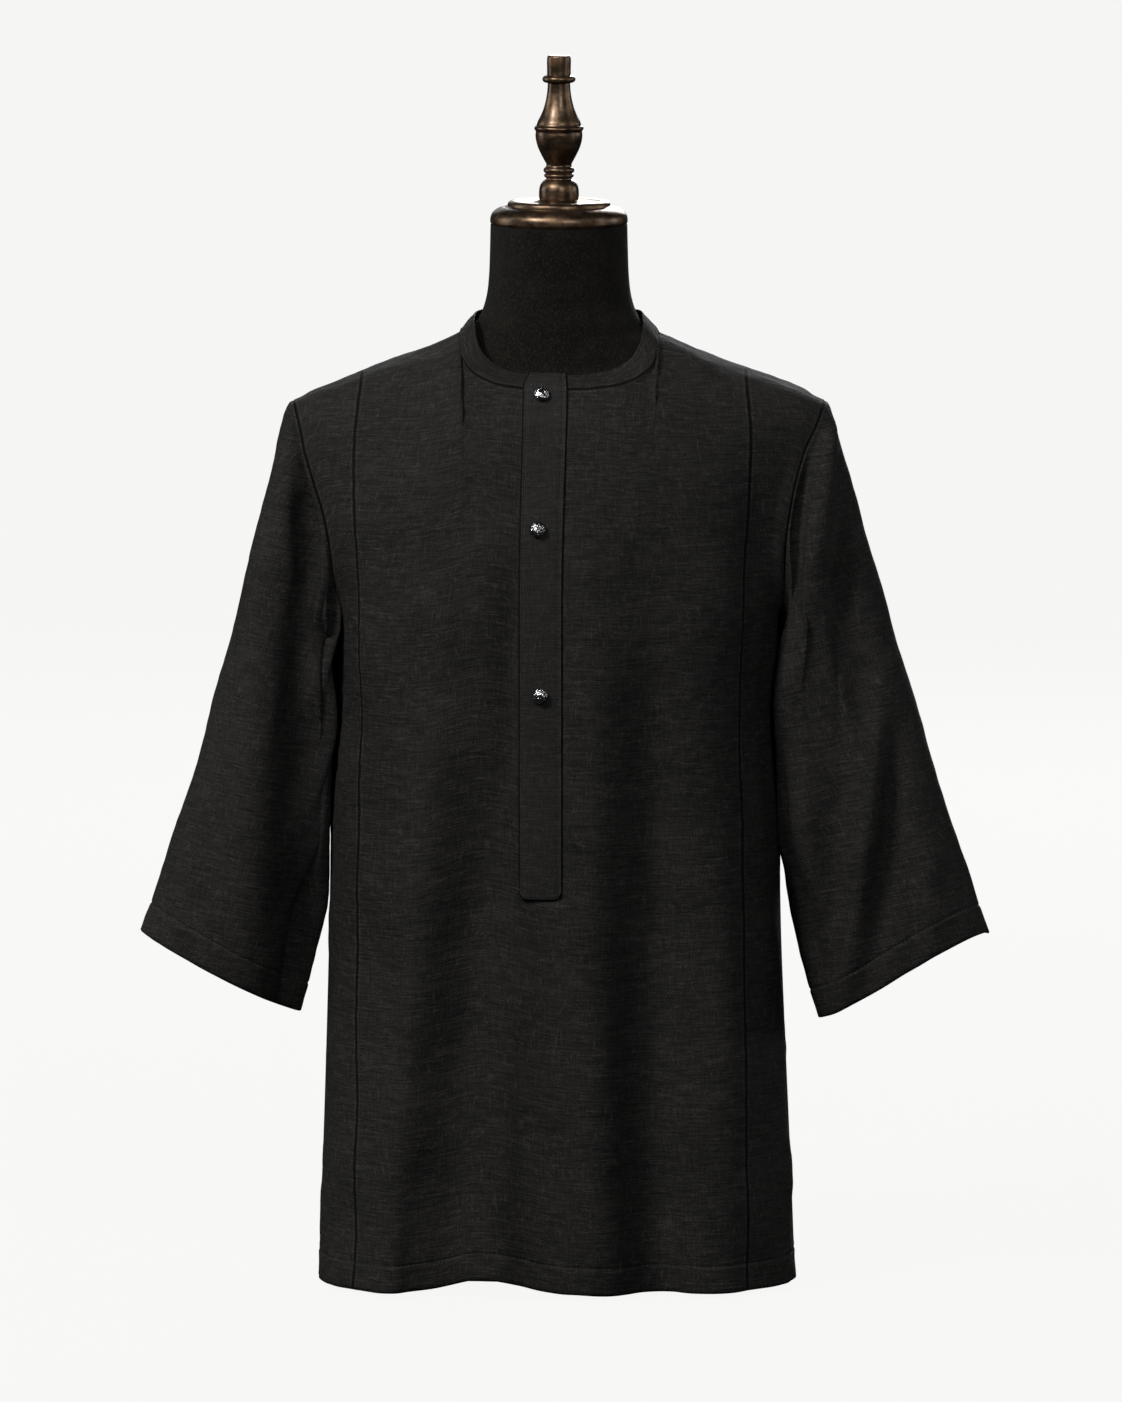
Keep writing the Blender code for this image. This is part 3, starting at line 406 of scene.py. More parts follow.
def top_angle(x, kind):
    """Angle over the shoulder at which a column ends. 90 degrees is the ridge."""
    power = roundness(x, "front")
    if kind == "front_neck" and abs(x) < NECK_HALF - MM / 10:
        edge_share = share_at_depth(math.copysign(NECK_HALF, x), -seam_forward(x), "front")
        side_height = UNDERARM + edge_share * (ridge_height(NECK_HALF) - UNDERARM)
        return angle_of_share(share_of(x, neckline_front(x, side_height)), power)
    if kind == "back_neck" and abs(x) < 0.085:
        y = NECK_BACK * math.sqrt(1.0 - (x / NECK_HALF) ** 2)
        share = share_at_depth(x, y, "back")
        return math.pi - angle_of_share(share, roundness(x, "back"))
    if kind == "back_neck" and abs(x) < NECK_HALF - MM / 10:
        share = share_at_depth(x, NECK_SIDE_DEPTH, "back")
        return math.pi - angle_of_share(share, roundness(x, "back"))
    forward = seam_forward(x)
    if forward < MM / 10:
        return math.pi / 2
    return angle_of_share(share_at_depth(x, -forward, "front"), power)


Column = namedtuple("Column", "kind low top place")


def columns_of(side):
    """The columns of the front or the back, from the left edge to the right edge."""
    neck = FRONT_NECK if side == "front" else BACK_NECK
    middle = [Column(side + "_neck", c.low, c.top, None) for c in neck]
    yoke = [Column("yoke", None, None, k / YOKE_CELLS) for k in range(1, YOKE_CELLS + 1)]
    edge = [Column("edge", None, None, k / SIDE_CELLS) for k in range(1, SIDE_CELLS + 1)]
    right = yoke + edge
    left = [Column(c.kind, None, None, -c.place) for c in reversed(right)]
    return left + middle + right


def column_x(column, height, half, shift, climb):
    """Where a column stands at a height. half is the body's half width there, climb the share up the yoke."""
    if column.place is None:
        return mix(column.low, column.top, smooth(0.0, 1.0, climb))
    sign = math.copysign(1.0, column.place)
    place = abs(column.place)
    edge = shift + sign * half
    seam = read(PANEL_SEAMS, "right" if sign > 0 else "left", height)
    if column.kind == "yoke":
        return mix(sign * NECK_HALF, seam, place)
    return edge - (edge - seam) * (1.0 - place) ** 2


def low_point(column, height, side, drop_to_hem):
    """A point below the underarm. drop_to_hem is 1 at the hem row and 0 from the next few rows up."""
    half, shift = (read(SECTIONS, name, height) for name in ("half_width", "shift"))
    x = column_x(column, height, half, shift, 0.0)
    z = height + hem_height(x, side) * drop_to_hem
    return np.array((x, lower_y(x, height, side), z))


def high_point(column, climb, side):
    """A point above the underarm, a share of the column's own way up over the shoulder."""
    start = 0.0 if side == "front" else math.pi
    x = column_x(column, UNDERARM, SECTIONS[-1].half_width, 0.0, 0.0)
    share = 0.0
    for _ in range(6):
        half = armhole_half(share, x)
        height = UNDERARM + share * (ridge_height(x) - UNDERARM)
        x = column_x(column, height, half, 0.0, climb)
        end_x = column_x(column, 0.81, SHOULDER_HALF, 0.0, 1.0)
        angle = mix(start, top_angle(end_x, column.kind), climb)
        face = "front" if angle <= math.pi / 2 else "back"
        share = math.sin(angle) ** (2.0 / roundness(x, face))
    if column.kind == "edge" and abs(column.place) == 1.0:
        x = math.copysign(armhole_half(share, x), column.place)
    return np.array((x, upper_y(x, share, face), UNDERARM + share * (ridge_height(x) - UNDERARM)))


def body_grid(side):
    """Rows from the hem up, each a list of points from the left edge to the right edge."""
    columns = columns_of(side)
    rows = []
    for k, height in enumerate(LOW_ROWS):
        fade = 1.0 - smooth(0.0, 0.26, height)
        rows.append([low_point(c, height, side, fade) for c in columns])
    for k in range(1, HIGH_ROWS + 1):
        climb = (k / HIGH_ROWS) ** HIGH_ROW_CROWD
        rows.append([high_point(c, climb, side) for c in columns])
    return np.array(rows)


def unit(vectors):
    return vectors / np.maximum(np.linalg.norm(vectors, axis=-1, keepdims=True), 1e-12)


def grid_normals(grid, outward, round_it=False):
    """Unit normals of a grid of points, pointing the way of outward(point)."""
    if round_it:
        across = np.roll(grid, -1, axis=1) - np.roll(grid, 1, axis=1)
    else:
        across = np.gradient(grid, axis=1)
    normals = unit(np.cross(across, np.gradient(grid, axis=0)))
    way = np.sum(normals * outward, axis=-1).mean()
    return normals if way > 0 else -normals


def pulled(grid, edges, distance):
    """The grid with the named edges moved inwards along the cloth."""
    out = grid.copy()
    ends = {"bottom": (0, 1, 0), "top": (-1, -2, 0), "left": (0, 1, 1), "right": (-1, -2, 1)}
    for edge in edges:
        first, second, axis = ends[edge]
        here, inside = np.take(grid, first, axis), np.take(grid, second, axis)
        moved = here + unit(inside - here) * distance
        if axis == 0:
            out[first] = out[first] + moved - here
        else:
            out[:, first] = out[:, first] + moved - here
    return out


def neck_ring(front, back):
    """The neckline from the middle of the placket, round the right side and the back, to the placket."""
    yoke = YOKE_CELLS + SIDE_CELLS
    front_neck = front[-1, yoke : yoke + len(FRONT_NECK)]
    back_neck = back[-1, yoke : yoke + len(BACK_NECK)]
    start = PLACKET_COLUMNS[1]
    return np.concatenate([front_neck[start:], back_neck[::-1][1:-1], front_neck[: start + 1]])


def collar_top(point):
    """The collar's upper edge above a point of the neckline."""
    x, y, z = point
    forward = max(0.0, -y / abs(upper_front_depth()))
    backward = max(0.0, y / NECK_BACK)
    scale = mix(1.0, COLLAR_FRONT / upper_front_depth(), forward)
    scale *= mix(1.0, COLLAR_BACK / NECK_BACK, backward)
    climb = COLLAR_CLIMB_SIDE - COLLAR_CLIMB_FRONT_LESS * forward**2 + COLLAR_CLIMB_BACK_MORE * backward
    return np.array((x * COLLAR_HALF / NECK_HALF, y * scale, z + climb))


def upper_front_depth():
    return -upper_y(0.0, share_of(0.0, NECK_FRONT), "front")


def collar_grid(ring):
    tops = np.array([collar_top(p) for p in ring])
    middle = ring + (tops - ring) * 0.5
    return np.array([ring, middle, tops])


def sleeve_loop(front, back, side):
    """The armhole from the underarm up the front, over the shoulder and down the back, on one side."""
    start = len(LOW_ROWS) - 1
    column = 0 if side < 0 else -1
    up, down = front[start:, column], back[start:, column][::-1]
    return np.concatenate([up, down[1:-1]])


def loop_angles(loop):
    """Angle of each point round the sleeve: 0 at the underarm, 180 at the shoulder point."""
    steps = np.linalg.norm(np.roll(loop, -1, axis=0) - loop, axis=1)
    run = np.concatenate([[0.0], np.cumsum(steps)])
    top = HIGH_ROWS
    front = run[: top + 1] / run[top] * 180.0
    back = 180.0 + (run[top + 1 : -1] - run[top]) / (run[-1] - run[top]) * 180.0
    return np.concatenate([front, back])


def cuff_point(sleeve, angle):
    outer, inner = np.array(sleeve.outer), np.array(sleeve.inner)
    middle, half = (outer + inner) / 2, (outer - inner) / 2
    turn = math.radians(angle)
    out, up = middle - half * math.cos(turn)
    up += sleeve.front_lift * max(0.0, math.sin(turn)) * (0.5 - 0.5 * math.cos(turn))
    return np.array((out, sleeve.middle - sleeve.depth / 2 * math.sin(turn), up))


def hermite(start, start_way, end, end_way, t):
    return (
        start * (2 * t**3 - 3 * t**2 + 1)
        + start_way * (t**3 - 2 * t**2 + t)
        + end * (3 * t**2 - 2 * t**3)
        + end_way * (t**3 - t**2)
    )


def sleeve_grid(sleeve, loop, folds):
    """Rings from the armhole to the cuff. The underarm turns down at once, and hangs beside the body."""
    angles = loop_angles(loop)
    right = loop * (sleeve.side, 1.0, 1.0) + (SEAM_GAP, 0.0, 0.0)
    grid = np.zeros((SLEEVE_ROWS + 1, len(angles), 3))
    for j, angle in enumerate(angles):
        start, end = right[j], cuff_point(sleeve, angle)
        top = 0.5 - 0.5 * math.cos(math.radians(angle))
        fore = math.sin(math.radians(angle))
        first_out, first_up = mix(np.array(UNDERARM_START), np.array(sleeve.top_start), top)
        last_out, last_up = mix(np.array(UNDERARM_END), np.array(sleeve.top_end), top)
        spread = np.array((mix(*SIDE_SPREAD, top), SIDE_PULL[0] * fore, SIDE_PULL[1]))
        spread *= abs(fore) ** SIDE_SPREAD_POWER
        first = np.array((first_out, 0.0, first_up)) + spread
        last = np.array((last_out, 0.0, last_up))
        for k in range(SLEEVE_ROWS + 1):
            t = (k / SLEEVE_ROWS) ** SLEEVE_ROW_CROWD
            grid[k, j] = hermite(start, first, end, last, t)
    normals = grid_normals(grid, unit(grid - grid.mean(axis=1, keepdims=True)), True)
    for k in range(SLEEVE_ROWS + 1):
        t = (k / SLEEVE_ROWS) ** SLEEVE_ROW_CROWD
        for j, angle in enumerate(angles):
            push = 0.0
            for fold in folds:
                place = mix(fold.top_angle, fold.cuff_angle, t)
                ends_early = fold.end < 1.0
                along = smooth(0.0, FOLD_START, t) * smooth(fold.start, fold.start + FOLD_RAMP, t)
                along *= 1.0 - smooth(fold.end - FOLD_END_RAMP, fold.end, t) * ends_early
                push += fold.rise * along * bump(angle - place, fold.width)
            grid[k, j] += normals[k, j] * push
    return grid * (sleeve.side, 1.0, 1.0)


def keep_off_body(grid, side, room):
    """Moves the sleeve's points that would meet the body's side out to it, with room between."""
    out = grid.copy()
    for k in range(1, grid.shape[0]):
        clear = SEAM_GAP + room * smooth(0.0, 0.10, k / SLEEVE_ROWS)
        for j in range(grid.shape[1]):
            x, y, z = grid[k, j]
            if z > UNDERARM:
                share = (z - UNDERARM) / (ridge_height(SHOULDER_HALF) - UNDERARM)
                limit = armhole_half(min(1.0, share), side) if share < 0.5 else 0.0
            else:
                height = max(z, 0.0)
                depth = read(SECTIONS, "front" if y < 0 else "back", height)
                across = min(1.0, abs(y) / depth)
                limit = read(SECTIONS, "half_width", height) * side_curve(across, section_squareness(height))
                limit += side * read(SECTIONS, "shift", height)
            out[k, j, 0] = side * max(side * x, limit + clear)
    return out


def form_rings():
    """The form's level sections, its shoulder ends just under the shirt's shoulder line."""
    rings = list(FORM_LOW)
    under = (CLOTH + FORM_CLEARANCE) / math.cos(math.atan(SHOULDER_FALL))
    for height, front, back, squareness in zip(
        FORM_SHOULDER_ROWS, FORM_SHOULDER_FRONTS, FORM_SHOULDER_BACKS, FORM_SHOULDER_SQUARENESS
    ):
        low, high = 0.05, FORM_LOW[-1].half_width + 0.02
        for _ in range(40):
            middle = (low + high) / 2
            low, high = (middle, high) if ridge_height(middle) - under > height else (low, middle)
        half = min(low, FORM_LOW[-1].half_width + 0.001)
        rings.append(FormRing(height, half, front, back, 0.0, squareness))
    return rings + list(FORM_NECK)


def form_ring_points(ring):
    points = []
    for k in range(FORM_SIDES):
        turn = 2 * math.pi * k / FORM_SIDES
        power = 2.0 / ring.squareness
        out, fore = math.sin(turn), -math.cos(turn)
        x = ring.half_width * math.copysign(abs(out) ** power, out) if abs(out) > 1e-9 else 0.0
        depth = ring.front if fore < 0 else ring.back
        y = depth * math.copysign(abs(fore) ** power, fore) if abs(fore) > 1e-9 else 0.0
        points.append((x, ring.middle + y, ring.height))
    return points


# Fine grids: smooth curves through the rows and columns of the coarse ones

GRID_SPACING = 4.2 * MM
SEAM_MARKS = (0.6 * MM, 1.4 * MM, 2.6 * MM, 4.4 * MM)
HEM_DEPTH = 23.0 * MM
CUFF_HEM_DEPTH = 25.0 * MM


def ease(low, high, values):
    share = np.clip((np.asarray(values, float) - low) / (high - low), 0.0, 1.0)
    return share * share * (3.0 - 2.0 * share)


def spread(width, distance):
    return np.exp(-((np.asarray(distance) / width) ** 2))


def through(points, at, corner=None, ring=False):
    """A smooth curve through points, read at places counted in intervals.

    corner is 1 where it turns sharply.
    """
    lines = points.shape[1]
    weights = np.zeros(points.shape[:2]) if corner is None else corner
    at = np.asarray(at, float)
    at = np.repeat(at[:, None], lines, axis=1) if at.ndim == 1 else at
    if ring:
        points = np.concatenate([points[-1:], points, points[:2]])
        weights = np.concatenate([weights[-1:], weights, weights[:2]])
        at = at + 1.0
    weights = weights[..., None]
    steps = np.diff(points, axis=0)
    size = np.linalg.norm(steps, axis=-1, keepdims=True) + 1e-9
    slopes = steps / size
    middle = (slopes[1:] * size[:-1] + slopes[:-1] * size[1:]) / (size[:-1] + size[1:])
    coming = np.concatenate([slopes[:1], mix(middle, slopes[:-1], weights[1:-1]), slopes[-1:]])
    going = np.concatenate([slopes[:1], mix(middle, slopes[1:], weights[1:-1]), slopes[-1:]])
    i = np.clip(np.floor(at + 1e-9).astype(int), 0, len(points) - 2)
    line = np.arange(lines)[None, :]
    t = (at - i)[..., None]
    return (
        points[i, line] * (2 * t**3 - 3 * t**2 + 1)
        + size[i, line] * going[i, line] * (t**3 - 2 * t**2 + t)
        + points[i + 1, line] * (3 * t**2 - 2 * t**3)
        + size[i, line] * coming[i + 1, line] * (t**3 - t**2)
    )


def exact_near(at, common, own, mark, reach, near):
    """The places at, kept the same distance from the mark on every line.

    They are exact for the length near, and ease off over reach.
    """
    order = np.arange(len(own))
    here = np.interp(at, order, common) - common[mark]
    out = np.array(at, float)
    for way in (-1, 1):
        end = mark + way * reach
        if not 0 <= end < len(own):
            continue
        inside = (way * (out - mark) > 0) & (way * (out - end) < 0)
        whole, mine = abs(common[end] - common[mark]), abs(own[end] - own[mark])
        kept = min(near, 0.8 * mine)
        far = kept + (abs(here) - near) * (mine - kept) / (whole - near)
        place = np.where(abs(here) < near, abs(here) * kept / near, far)
        out[inside] = np.interp((own[mark] + way * place)[inside], own, order)
    return out


def run_of(points):
    return np.concatenate([[0.0], np.cumsum(np.linalg.norm(np.diff(points, axis=0), axis=1))])


def fine_grid(
    grid, rows_at, columns_at, row_marks=(), column_marks=(), row_corner=None, column_corner=None, ring=False
):
    """The coarse grid made fine. Marks are (line, intervals to ease over, length kept exact)."""
    common_rows = np.concatenate([[0.0], np.cumsum(interval_lengths(grid, 0))])
    at = np.repeat(rows_at[:, None], grid.shape[1], axis=1)
    for k in range(grid.shape[1]):
        for mark, reach, near in row_marks:
            at[:, k] = exact_near(at[:, k], common_rows, run_of(grid[:, k]), mark, reach, near)
    tall = through(grid, at, row_corner).transpose(1, 0, 2)
    common = np.concatenate([[0.0], np.cumsum(interval_lengths(grid, 1))])
    at = np.repeat(columns_at[:, None], tall.shape[1], axis=1)
    for k in range(tall.shape[1]):
        for mark, reach, near in column_marks:
            at[:, k] = exact_near(at[:, k], common, run_of(tall[:, k]), mark, reach, near)
    return through(tall, at, column_corner, ring).transpose(1, 0, 2)


def interval_lengths(grid, axis, ring=False):
    steps = np.diff(grid, axis=axis, append=np.take(grid, [0], axis)) if ring else np.diff(grid, axis=axis)
    return np.linalg.norm(steps, axis=-1).max(axis=1 - axis)


def stations(lengths, marks=(), near=SEAM_MARKS):
    """Places along a line of intervals: even ones, more beside the marks, and every interval's end."""
    spacing = GRID_SPACING
    run = np.concatenate([[0.0], np.cumsum(lengths)])
    places = list(run)
    wanted = [m + s * d for m in marks for d in (0.0, *near) for s in (-1, 1)]
    for low, high in zip(run[:-1], run[1:]):
        wanted += list(np.linspace(low, high, max(2, int(math.ceil((high - low) / spacing)) + 1))[1:-1])
    for place in wanted:
        if 0.0 < place < run[-1] and min(abs(place - p) for p in places) > 0.35 * MM:
            places.append(place)
    return np.interp(sorted(places), run, np.arange(len(run)))


def runs(grid, axis, backward=False):
    """Distance of each point from the start of its row or column, or from its end."""
    size = np.linalg.norm(np.diff(grid, axis=axis), axis=-1)
    start = np.zeros_like(np.take(size, [0], axis))
    run = np.concatenate([start, np.cumsum(size, axis=axis)], axis=axis)
    return np.take(run, [-1], axis) - run if backward else run


def facing(grid, outward, ring=False):
    """Unit directions square to the cloth, on the side of outward."""
    if ring:
        across = np.roll(grid, -1, axis=1) - np.roll(grid, 1, axis=1)
    else:
        across = np.gradient(grid, axis=1)
    square = unit(np.cross(across, np.gradient(grid, axis=0)))
    return square * (1.0 if np.sum(square * outward, axis=-1).mean() > 0 else -1.0)


def waves(a, b, long, height, seed):
    """Soft uneven waves over two lengths, the same on each run."""
    chance = np.random.default_rng(seed)
    total = np.zeros_like(a)
    for _ in range(7):
        turn = chance.uniform(0, 2 * math.pi)
        size = long * chance.uniform(0.6, 1.7)
        shift = chance.uniform(0, 2 * math.pi)
        total += np.sin(2 * math.pi * (a * math.cos(turn) + b * math.sin(turn)) / size + shift)
    return total * height / 2.6


# Creases: from one end to the other, with a bow to the side, their width and their rise

Crease = namedtuple("Crease", "x0 z0 x1 z1 bow width rise")
FRONT_CREASES = (
    # under the collar
    Crease(-0.062, 0.797, -0.055, 0.745, 0.002, 0.0050, -0.0009),
    Crease(-0.050, 0.795, -0.044, 0.752, 0.001, 0.0045, 0.0008),
    Crease(0.043, 0.799, 0.041, 0.745, -0.002, 0.0045, -0.0010),
    Crease(0.055, 0.803, 0.052, 0.760, -0.001, 0.0045, 0.0009),
    # beside the placket
    Crease(-0.043, 0.680, -0.040, 0.420, 0.001, 0.0095, -0.0026),
    Crease(-0.066, 0.680, -0.062, 0.420, 0.002, 0.0150, 0.0034),
    Crease(0.016, 0.640, 0.018, 0.330, -0.002, 0.0090, -0.0016),
    # the skirt's hanging folds, left to right
    Crease(-0.098, 0.620, -0.172, -0.350, 0.000, 0.0210, 0.0140),
    Crease(-0.046, 0.620, -0.120, -0.350, 0.004, 0.0260, -0.0130),
    Crease(-0.020, 0.330, -0.030, -0.350, 0.004, 0.0150, -0.0016),
    Crease(0.022, 0.700, 0.032, -0.350, -0.003, 0.0270, 0.0140),
    Crease(0.084, 0.720, 0.094, -0.350, 0.003, 0.0290, -0.0140),
    Crease(0.142, 0.470, 0.153, -0.350, 0.000, 0.0160, 0.0050),
    # the hollows before the underarms, and faint drag lines from them
    Crease(0.178, 0.760, 0.174, 0.400, 0.000, 0.0240, -0.0080),
    Crease(-0.192, 0.700, -0.188, 0.420, 0.000, 0.0150, -0.0040),
    Crease(-0.165, 0.600, -0.090, 0.510, 0.012, 0.0085, 0.0008),
    Crease(0.160, 0.610, 0.086, 0.515, -0.012, 0.0085, 0.0008),
    # slack across the chest and the belly
    Crease(-0.050, 0.660, -0.140, 0.640, 0.004, 0.0050, 0.0006),
    Crease(0.030, 0.445, 0.130, 0.430, -0.004, 0.0050, 0.0007),
    Crease(-0.130, 0.345, -0.045, 0.352, 0.004, 0.0050, -0.0007),
    Crease(0.020, 0.275, 0.120, 0.262, 0.004, 0.0050, 0.0007),
    Crease(-0.120, 0.190, -0.050, 0.196, 0.003, 0.0045, 0.0006),
    Crease(0.000, 0.160, 0.100, 0.150, -0.003, 0.0045, -0.0006),
)
BACK_CREASES = (
    Crease(-0.062, 0.815, -0.050, 0.700, 0.004, 0.0070, 0.0014),
    Crease(0.060, 0.815, 0.052, 0.705, -0.004, 0.0070, 0.0014),
    Crease(-0.150, 0.590, -0.070, 0.500, 0.012, 0.0080, 0.0018),
    Crease(-0.155, 0.555, -0.080, 0.455, 0.012, 0.0080, -0.0017),
    Crease(0.150, 0.585, 0.075, 0.495, -0.012, 0.0080, 0.0018),
    Crease(0.152, 0.550, 0.085, 0.450, -0.012, 0.0080, -0.0016),
    Crease(-0.030, 0.560, -0.038, 0.200, 0.006, 0.0150, -0.0024),
    Crease(0.010, 0.500, 0.014, 0.120, -0.005, 0.0150, 0.0022),
    Crease(0.085, 0.450, 0.095, 0.100, 0.006, 0.0140, -0.0020),
    Crease(-0.140, 0.400, -0.150, 0.100, -0.004, 0.0120, 0.0018),
    Crease(-0.090, 0.640, 0.080, 0.650, 0.008, 0.0060, -0.0010),
    Crease(-0.070, 0.330, 0.050, 0.322, 0.006, 0.0050, 0.0008),
)


def crease_push(x, z, table):
    total = np.zeros_like(x)
    for crease in table:
        way = np.array((crease.x1 - crease.x0, crease.z1 - crease.z0))
        length = np.linalg.norm(way)
        way /= length
        along = ((x - crease.x0) * way[0] + (z - crease.z0) * way[1]) / length
        across = (x - crease.x0) * way[1] - (z - crease.z0) * way[0] - crease.bow * 4 * along * (1 - along)
        ends = ease(-0.05, 0.32, along) * (1.0 - ease(0.68, 1.05, along))
        total += crease.rise * spread(crease.width, across) * ends
    return total


def hem_relief(from_edge, depth, along, seed):
    """The doubled cloth of a hem, the dip of its stitches and the small puckers they draw."""
    chance = np.random.default_rng(seed).uniform(0, 6.28, 3)
    doubled = 0.35 * MM * (1.0 - ease(depth - 1.2 * MM, depth + 0.6 * MM, from_edge))
    dip = -0.75 * MM * spread(1.3 * MM, from_edge - depth)
    pucker = sum(np.sin(2 * math.pi * along / size + s) for size, s in zip((0.0135, 0.0192, 0.031), chance))
    pull = spread(9.0 * MM, from_edge - depth)
    return doubled + dip + pucker * pull * 0.22 * MM


def seam_relief(side):
    """Beside a seam the upper panel's edge stands up and the lower one's dips.

    side is plus on the upper one.
    """
    ridge = 0.28 * MM * spread(3.2 * MM, side - 2.2 * MM) * ease(0.0, 1.5 * MM, side)
    dip = -0.30 * MM * spread(3.0 * MM, side) * (side <= 0)
    return ridge + dip


# Shells


def seam_distances(grid, sides=True, top=True):
    """The distance of each point from the nearest seam, and from the hem below it."""
    near = np.full(grid.shape[:2], 0.1)
    if sides:
        near = np.minimum(near, np.minimum(runs(grid, 1), runs(grid, 1, True)))
    if top:
        near = np.minimum(near, runs(grid, 0, True))
    return np.stack([near, runs(grid, 0)], axis=-1)


SHOWN_CLOTH = 1.1 * MM


def shell(name, outer, square, thickness, cut_uv, material, ring=False, to_seams=None):
    """A thin closed shell with round edges. thickness is one number or one for each point."""
    rows, columns = outer.shape[:2]
    thick = np.broadcast_to(thickness, (rows, columns))
    inner = outer - square * thick[..., None]
    number = np.arange(rows * columns).reshape(rows, columns)
    if ring:
        wrapped = np.concatenate([number, number[:, :1]], axis=1)
    else:
        wrapped = number
    a, b, c, d = wrapped[:-1, :-1], wrapped[:-1, 1:], wrapped[1:, 1:], wrapped[1:, :-1]
    quads = np.stack([a, b, c, d], axis=-1).reshape(-1, 4)
    count = rows * columns
    faces = [quads, quads[:, ::-1] + count]
    points = [outer.reshape(-1, 3), inner.reshape(-1, 3)]
    if to_seams is None:
        to_seams = seam_distances(outer)
    cut_uv = np.concatenate([cut_uv, to_seams], axis=-1)
    uvs = [cut_uv.reshape(-1, 4)] * 2

    def rim(loop, inside, closed):
        edge, back = outer.reshape(-1, 3)[loop], outer.reshape(-1, 3)[inside]
        deep = inner.reshape(-1, 3)[loop]
        push = unit(edge - back) * np.linalg.norm(edge - deep, axis=1, keepdims=True) * 0.42
        first = sum(len(p) for p in points)
        points.append((edge + deep) / 2 + push)
        uvs.append(cut_uv.reshape(-1, 4)[loop])
        middle = np.arange(len(loop)) + first
        steps = len(loop) if closed else len(loop) - 1
        k, n = np.arange(steps), (np.arange(steps) + 1) % len(loop)
        faces.append(np.stack([loop[n], loop[k], middle[k], middle[n]], axis=-1))
        faces.append(np.stack([middle[n], middle[k], loop[k] + count, loop[n] + count], axis=-1))

    if ring:
        rim(number[0], number[1], True)
        rim(number[-1][::-1], number[-2][::-1], True)
    else:
        loop = np.concatenate([number[0, :-1], number[:-1, -1], number[-1, :0:-1], number[:0:-1, 0]])
        inside = np.concatenate([number[1, :-1], number[:-1, -2], number[-2, :0:-1], number[:0:-1, 1]])
        inside[0] = number[1, 1]
        corners = [0, columns - 1, columns + rows - 2, 2 * columns + rows - 3]
        for place, (r, q) in zip(corners, ((1, 1), (1, -2), (-2, -2), (-2, 1))):
            inside[place] = number[r, q]
        rim(loop, inside, True)
    return finished(name, np.concatenate(points), np.concatenate(faces), material, np.concatenate(uvs))


def finished(name, points, faces, material, cut_uv=None, sharp=None):
    mesh = bpy.data.meshes.new(name)
    a, b, c = (points[faces[:, k]] for k in (0, 1, 2))
    d = points[faces[:, -1]]
    volume = np.sum(a * np.cross(b, c)) + (np.sum(a * np.cross(c, d)) if faces.shape[1] == 4 else 0.0)
    if volume < 0:
        faces = faces[:, ::-1]
    mesh.from_pydata(points.tolist(), [], faces.tolist())
    mesh.shade_smooth()
    if sharp is not None:
        mesh.set_sharp_from_angle(angle=math.radians(sharp))
    if cut_uv is not None:
        corner = np.zeros(len(mesh.loops), int)
        mesh.loops.foreach_get("vertex_index", corner)
        for layer_name, part in (("cut", cut_uv[:, :2]), ("edges", cut_uv[:, 2:])):
            layer = mesh.uv_layers.new(name=layer_name)
            layer.data.foreach_set("uv", part[corner].astype(np.float32).ravel())
    mesh.materials.append(material)
    made = bpy.data.objects.new(name, mesh)
    bpy.context.scene.collection.objects.link(made)
    return made


def dressed(piece, slot, *nodes):
    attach(piece, "root")
    if nodes:
        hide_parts(*nodes)
    return piece


# The shirt's pieces

EDGE_COLUMNS = YOKE_CELLS + SIDE_CELLS
UNDERARM_ROW = LOW_ROWS.index(UNDERARM)
LAST_ROW = UNDERARM_ROW + HIGH_ROWS
PLACKET_FIRST, PLACKET_MIDDLE, PLACKET_LAST = (EDGE_COLUMNS + c for c in PLACKET_COLUMNS)


def row_corners(grid):
    """The side edges turn sharply at the underarm, less so further in."""
    weights = np.zeros(grid.shape[:2])
    for k in range(3):
        weights[UNDERARM_ROW, k] = weights[UNDERARM_ROW, -1 - k] = 1.0 - k / 3.0
    return weights


def neck_corners(rows_at, columns):
    """The top edge turns sharply where the shoulder seams meet the neckline."""
    weights = np.zeros((columns, len(rows_at)))
    weights[EDGE_COLUMNS] = weights[columns - 1 - EDGE_COLUMNS] = ease(LAST_ROW - 0.30, LAST_ROW, rows_at)
    return weights


def body_shape():
    """Fine grids of the front and the back with the same stations along the seams that they share."""
    coarse = {side: body_grid(side) for side in ("front", "back")}
    rows = np.maximum(*(interval_lengths(g, 0) for g in coarse.values()))
    rows_at = stations(rows, (HEM_DEPTH,))
    columns = {side: interval_lengths(g, 1) for side, g in coarse.items()}
    for part in (slice(0, EDGE_COLUMNS), slice(-EDGE_COLUMNS, None)):
        shared = np.maximum(columns["front"][part], columns["back"][part])
        columns["front"][part] = columns["back"][part] = shared
    shape = {"rows_at": rows_at, "coarse": coarse}
    for side, grid in coarse.items():
        run = np.concatenate([[0.0], np.cumsum(columns[side])])
        last = grid.shape[1] - 1
        marks = [SIDE_CELLS, last - SIDE_CELLS] + ([PLACKET_FIRST, PLACKET_LAST] if side == "front" else [])
        at = stations(columns[side], run[marks])
        kept = [(m, 1, 5.0 * MM) for m in marks]
        shape[side] = fine_grid(
            grid, rows_at, at, [(0, 2, 32.0 * MM)], kept, row_corners(grid), neck_corners(rows_at, last + 1)
        )
        shape[side + "_at"] = at
        shape[side] = eased_corners(eased_chest(shape[side]), at)
    return shape


